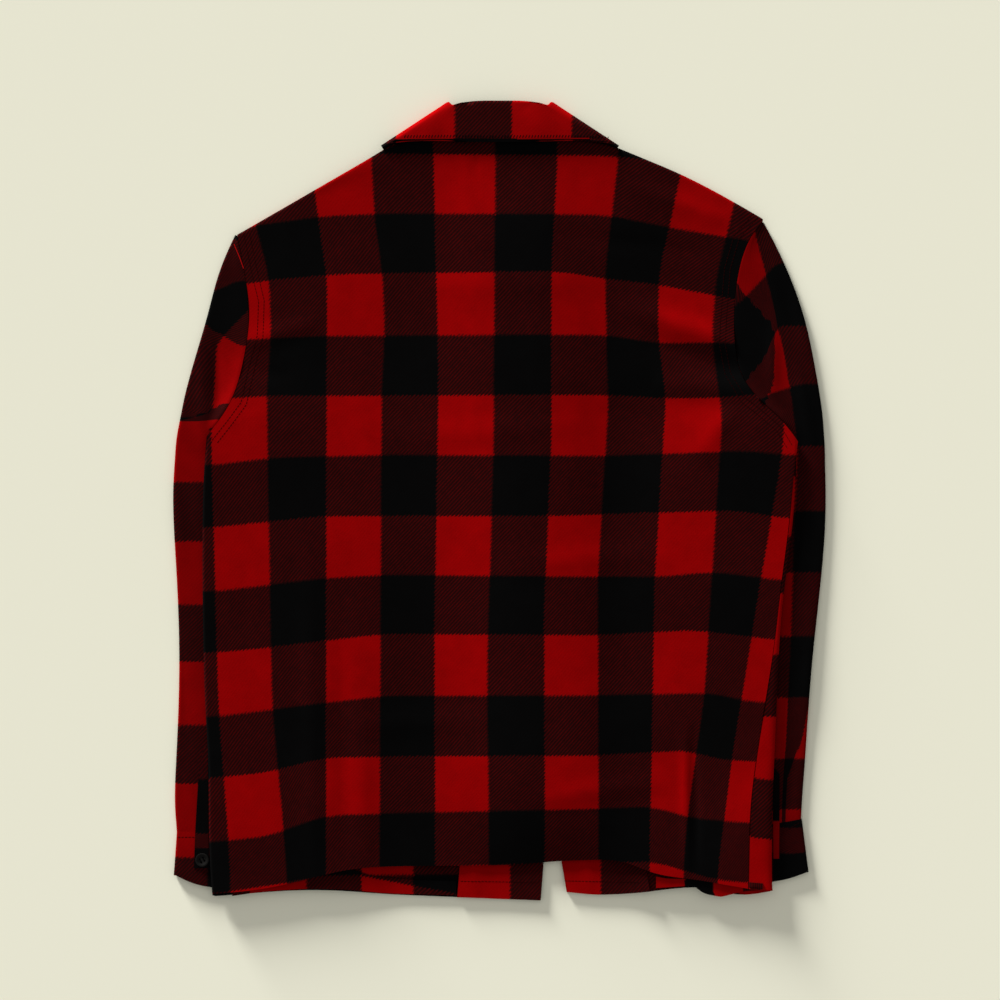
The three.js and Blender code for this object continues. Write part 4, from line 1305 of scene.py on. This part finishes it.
# %% Floor
bpy.ops.mesh.primitive_plane_add(size=12, location=(0, 0, -0.0002))
floor = bpy.context.object
floor.name = "table_top"
settle_place(floor)
table_paint = bpy.data.materials.new("table_paint")
table_paint.use_nodes = True
shader = table_paint.node_tree.nodes["Principled BSDF"]
shader.inputs["Base Color"].default_value = (0.80, 0.785, 0.635, 1)
shader.inputs["Roughness"].default_value = 0.9
shader.inputs["Specular IOR Level"].default_value = 0.1
floor.data.materials.append(table_paint)
print("table below the shirt by", round(-floor.data.vertices[0].co.z / MM, 2), "mm")

# %% [markdown]
# ## Light
# One broad sun stands for a window, and an even white room fills the rest.

# %% Light
world = bpy.data.worlds.new("soft_room")
bpy.context.scene.world = world
world.use_nodes = True
world.node_tree.nodes["Background"].inputs["Color"].default_value = (1, 1, 1, 1)
world.node_tree.nodes["Background"].inputs["Strength"].default_value = 0.5
lamp = bpy.data.lights.new("window", "SUN")
lamp.energy = 11.3
lamp.angle = math.radians(14)
window = bpy.data.objects.new("window", lamp)
bpy.context.scene.collection.objects.link(window)
toward = Vector((0.6, -1.0, -0.16))
window.rotation_euler = toward.to_track_quat("-Z", "Y").to_euler()
bpy.context.scene.view_settings.view_transform = "Standard"
print("light from", window.name, "at", round(math.degrees(lamp.angle)), "degrees across")

# %% [markdown]
# ## Camera
# The shirt is seen from straight above, from far enough to look flat.

# %% Camera
view = bpy.data.cameras.new("straight_down")
view.lens = 120
view.sensor_width = 36
camera = bpy.data.objects.new("straight_down", view)
bpy.context.scene.collection.objects.link(camera)
camera.location = (0.0005, 0.00074, 3.2)
bpy.context.scene.camera = camera
print("camera at", camera.location[:])

# %% [markdown]
# ## What the cloth was cut from
# Each piece is listed with the flat size of the piece a maker would cut, its area, the pieces below it and
# the strips sewn to it. Nothing further is done with the list.

# %% Sheets
cuts = {
    "back": ((0.61, 0.76), 0.4, ["front_left_cloth", "front_right_cloth", "collar_cloth"], []),
    "sleeve_left": ((0.30, 0.58), 0.12, ["table_top"], [vent_left]),
    "sleeve_right": ((0.30, 0.58), 0.12, ["table_top"], [vent_right]),
    "cuff_left": ((0.25, 0.06), None, ["table_top"], []),
    "cuff_right": ((0.25, 0.06), None, ["table_top"], []),
    "front_left": ((0.36, 0.75), 0.225, ["table_top", "sleeve_left_cloth"], [hem_left]),
    "front_right": ((0.36, 0.75), 0.2, ["sleeve_right_cloth", "facing_left_cloth"], [hem_right]),
    "facing_left": ((0.09, 0.72), None, ["front_left_cloth"], []),
    "facing_right": ((0.09, 0.72), None, ["front_right_cloth"], []),
    "collar_stand": ((0.44, 0.035), None, ["table_top"], []),
    "collar": ((0.42, 0.075), 0.029, ["back_cloth"], [overlock, collar_edge_and_shade] + collar_lips),
}
for name, (flat, area, below, extra) in cuts.items():
    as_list(below)
print("sheets declared:", len(cuts))
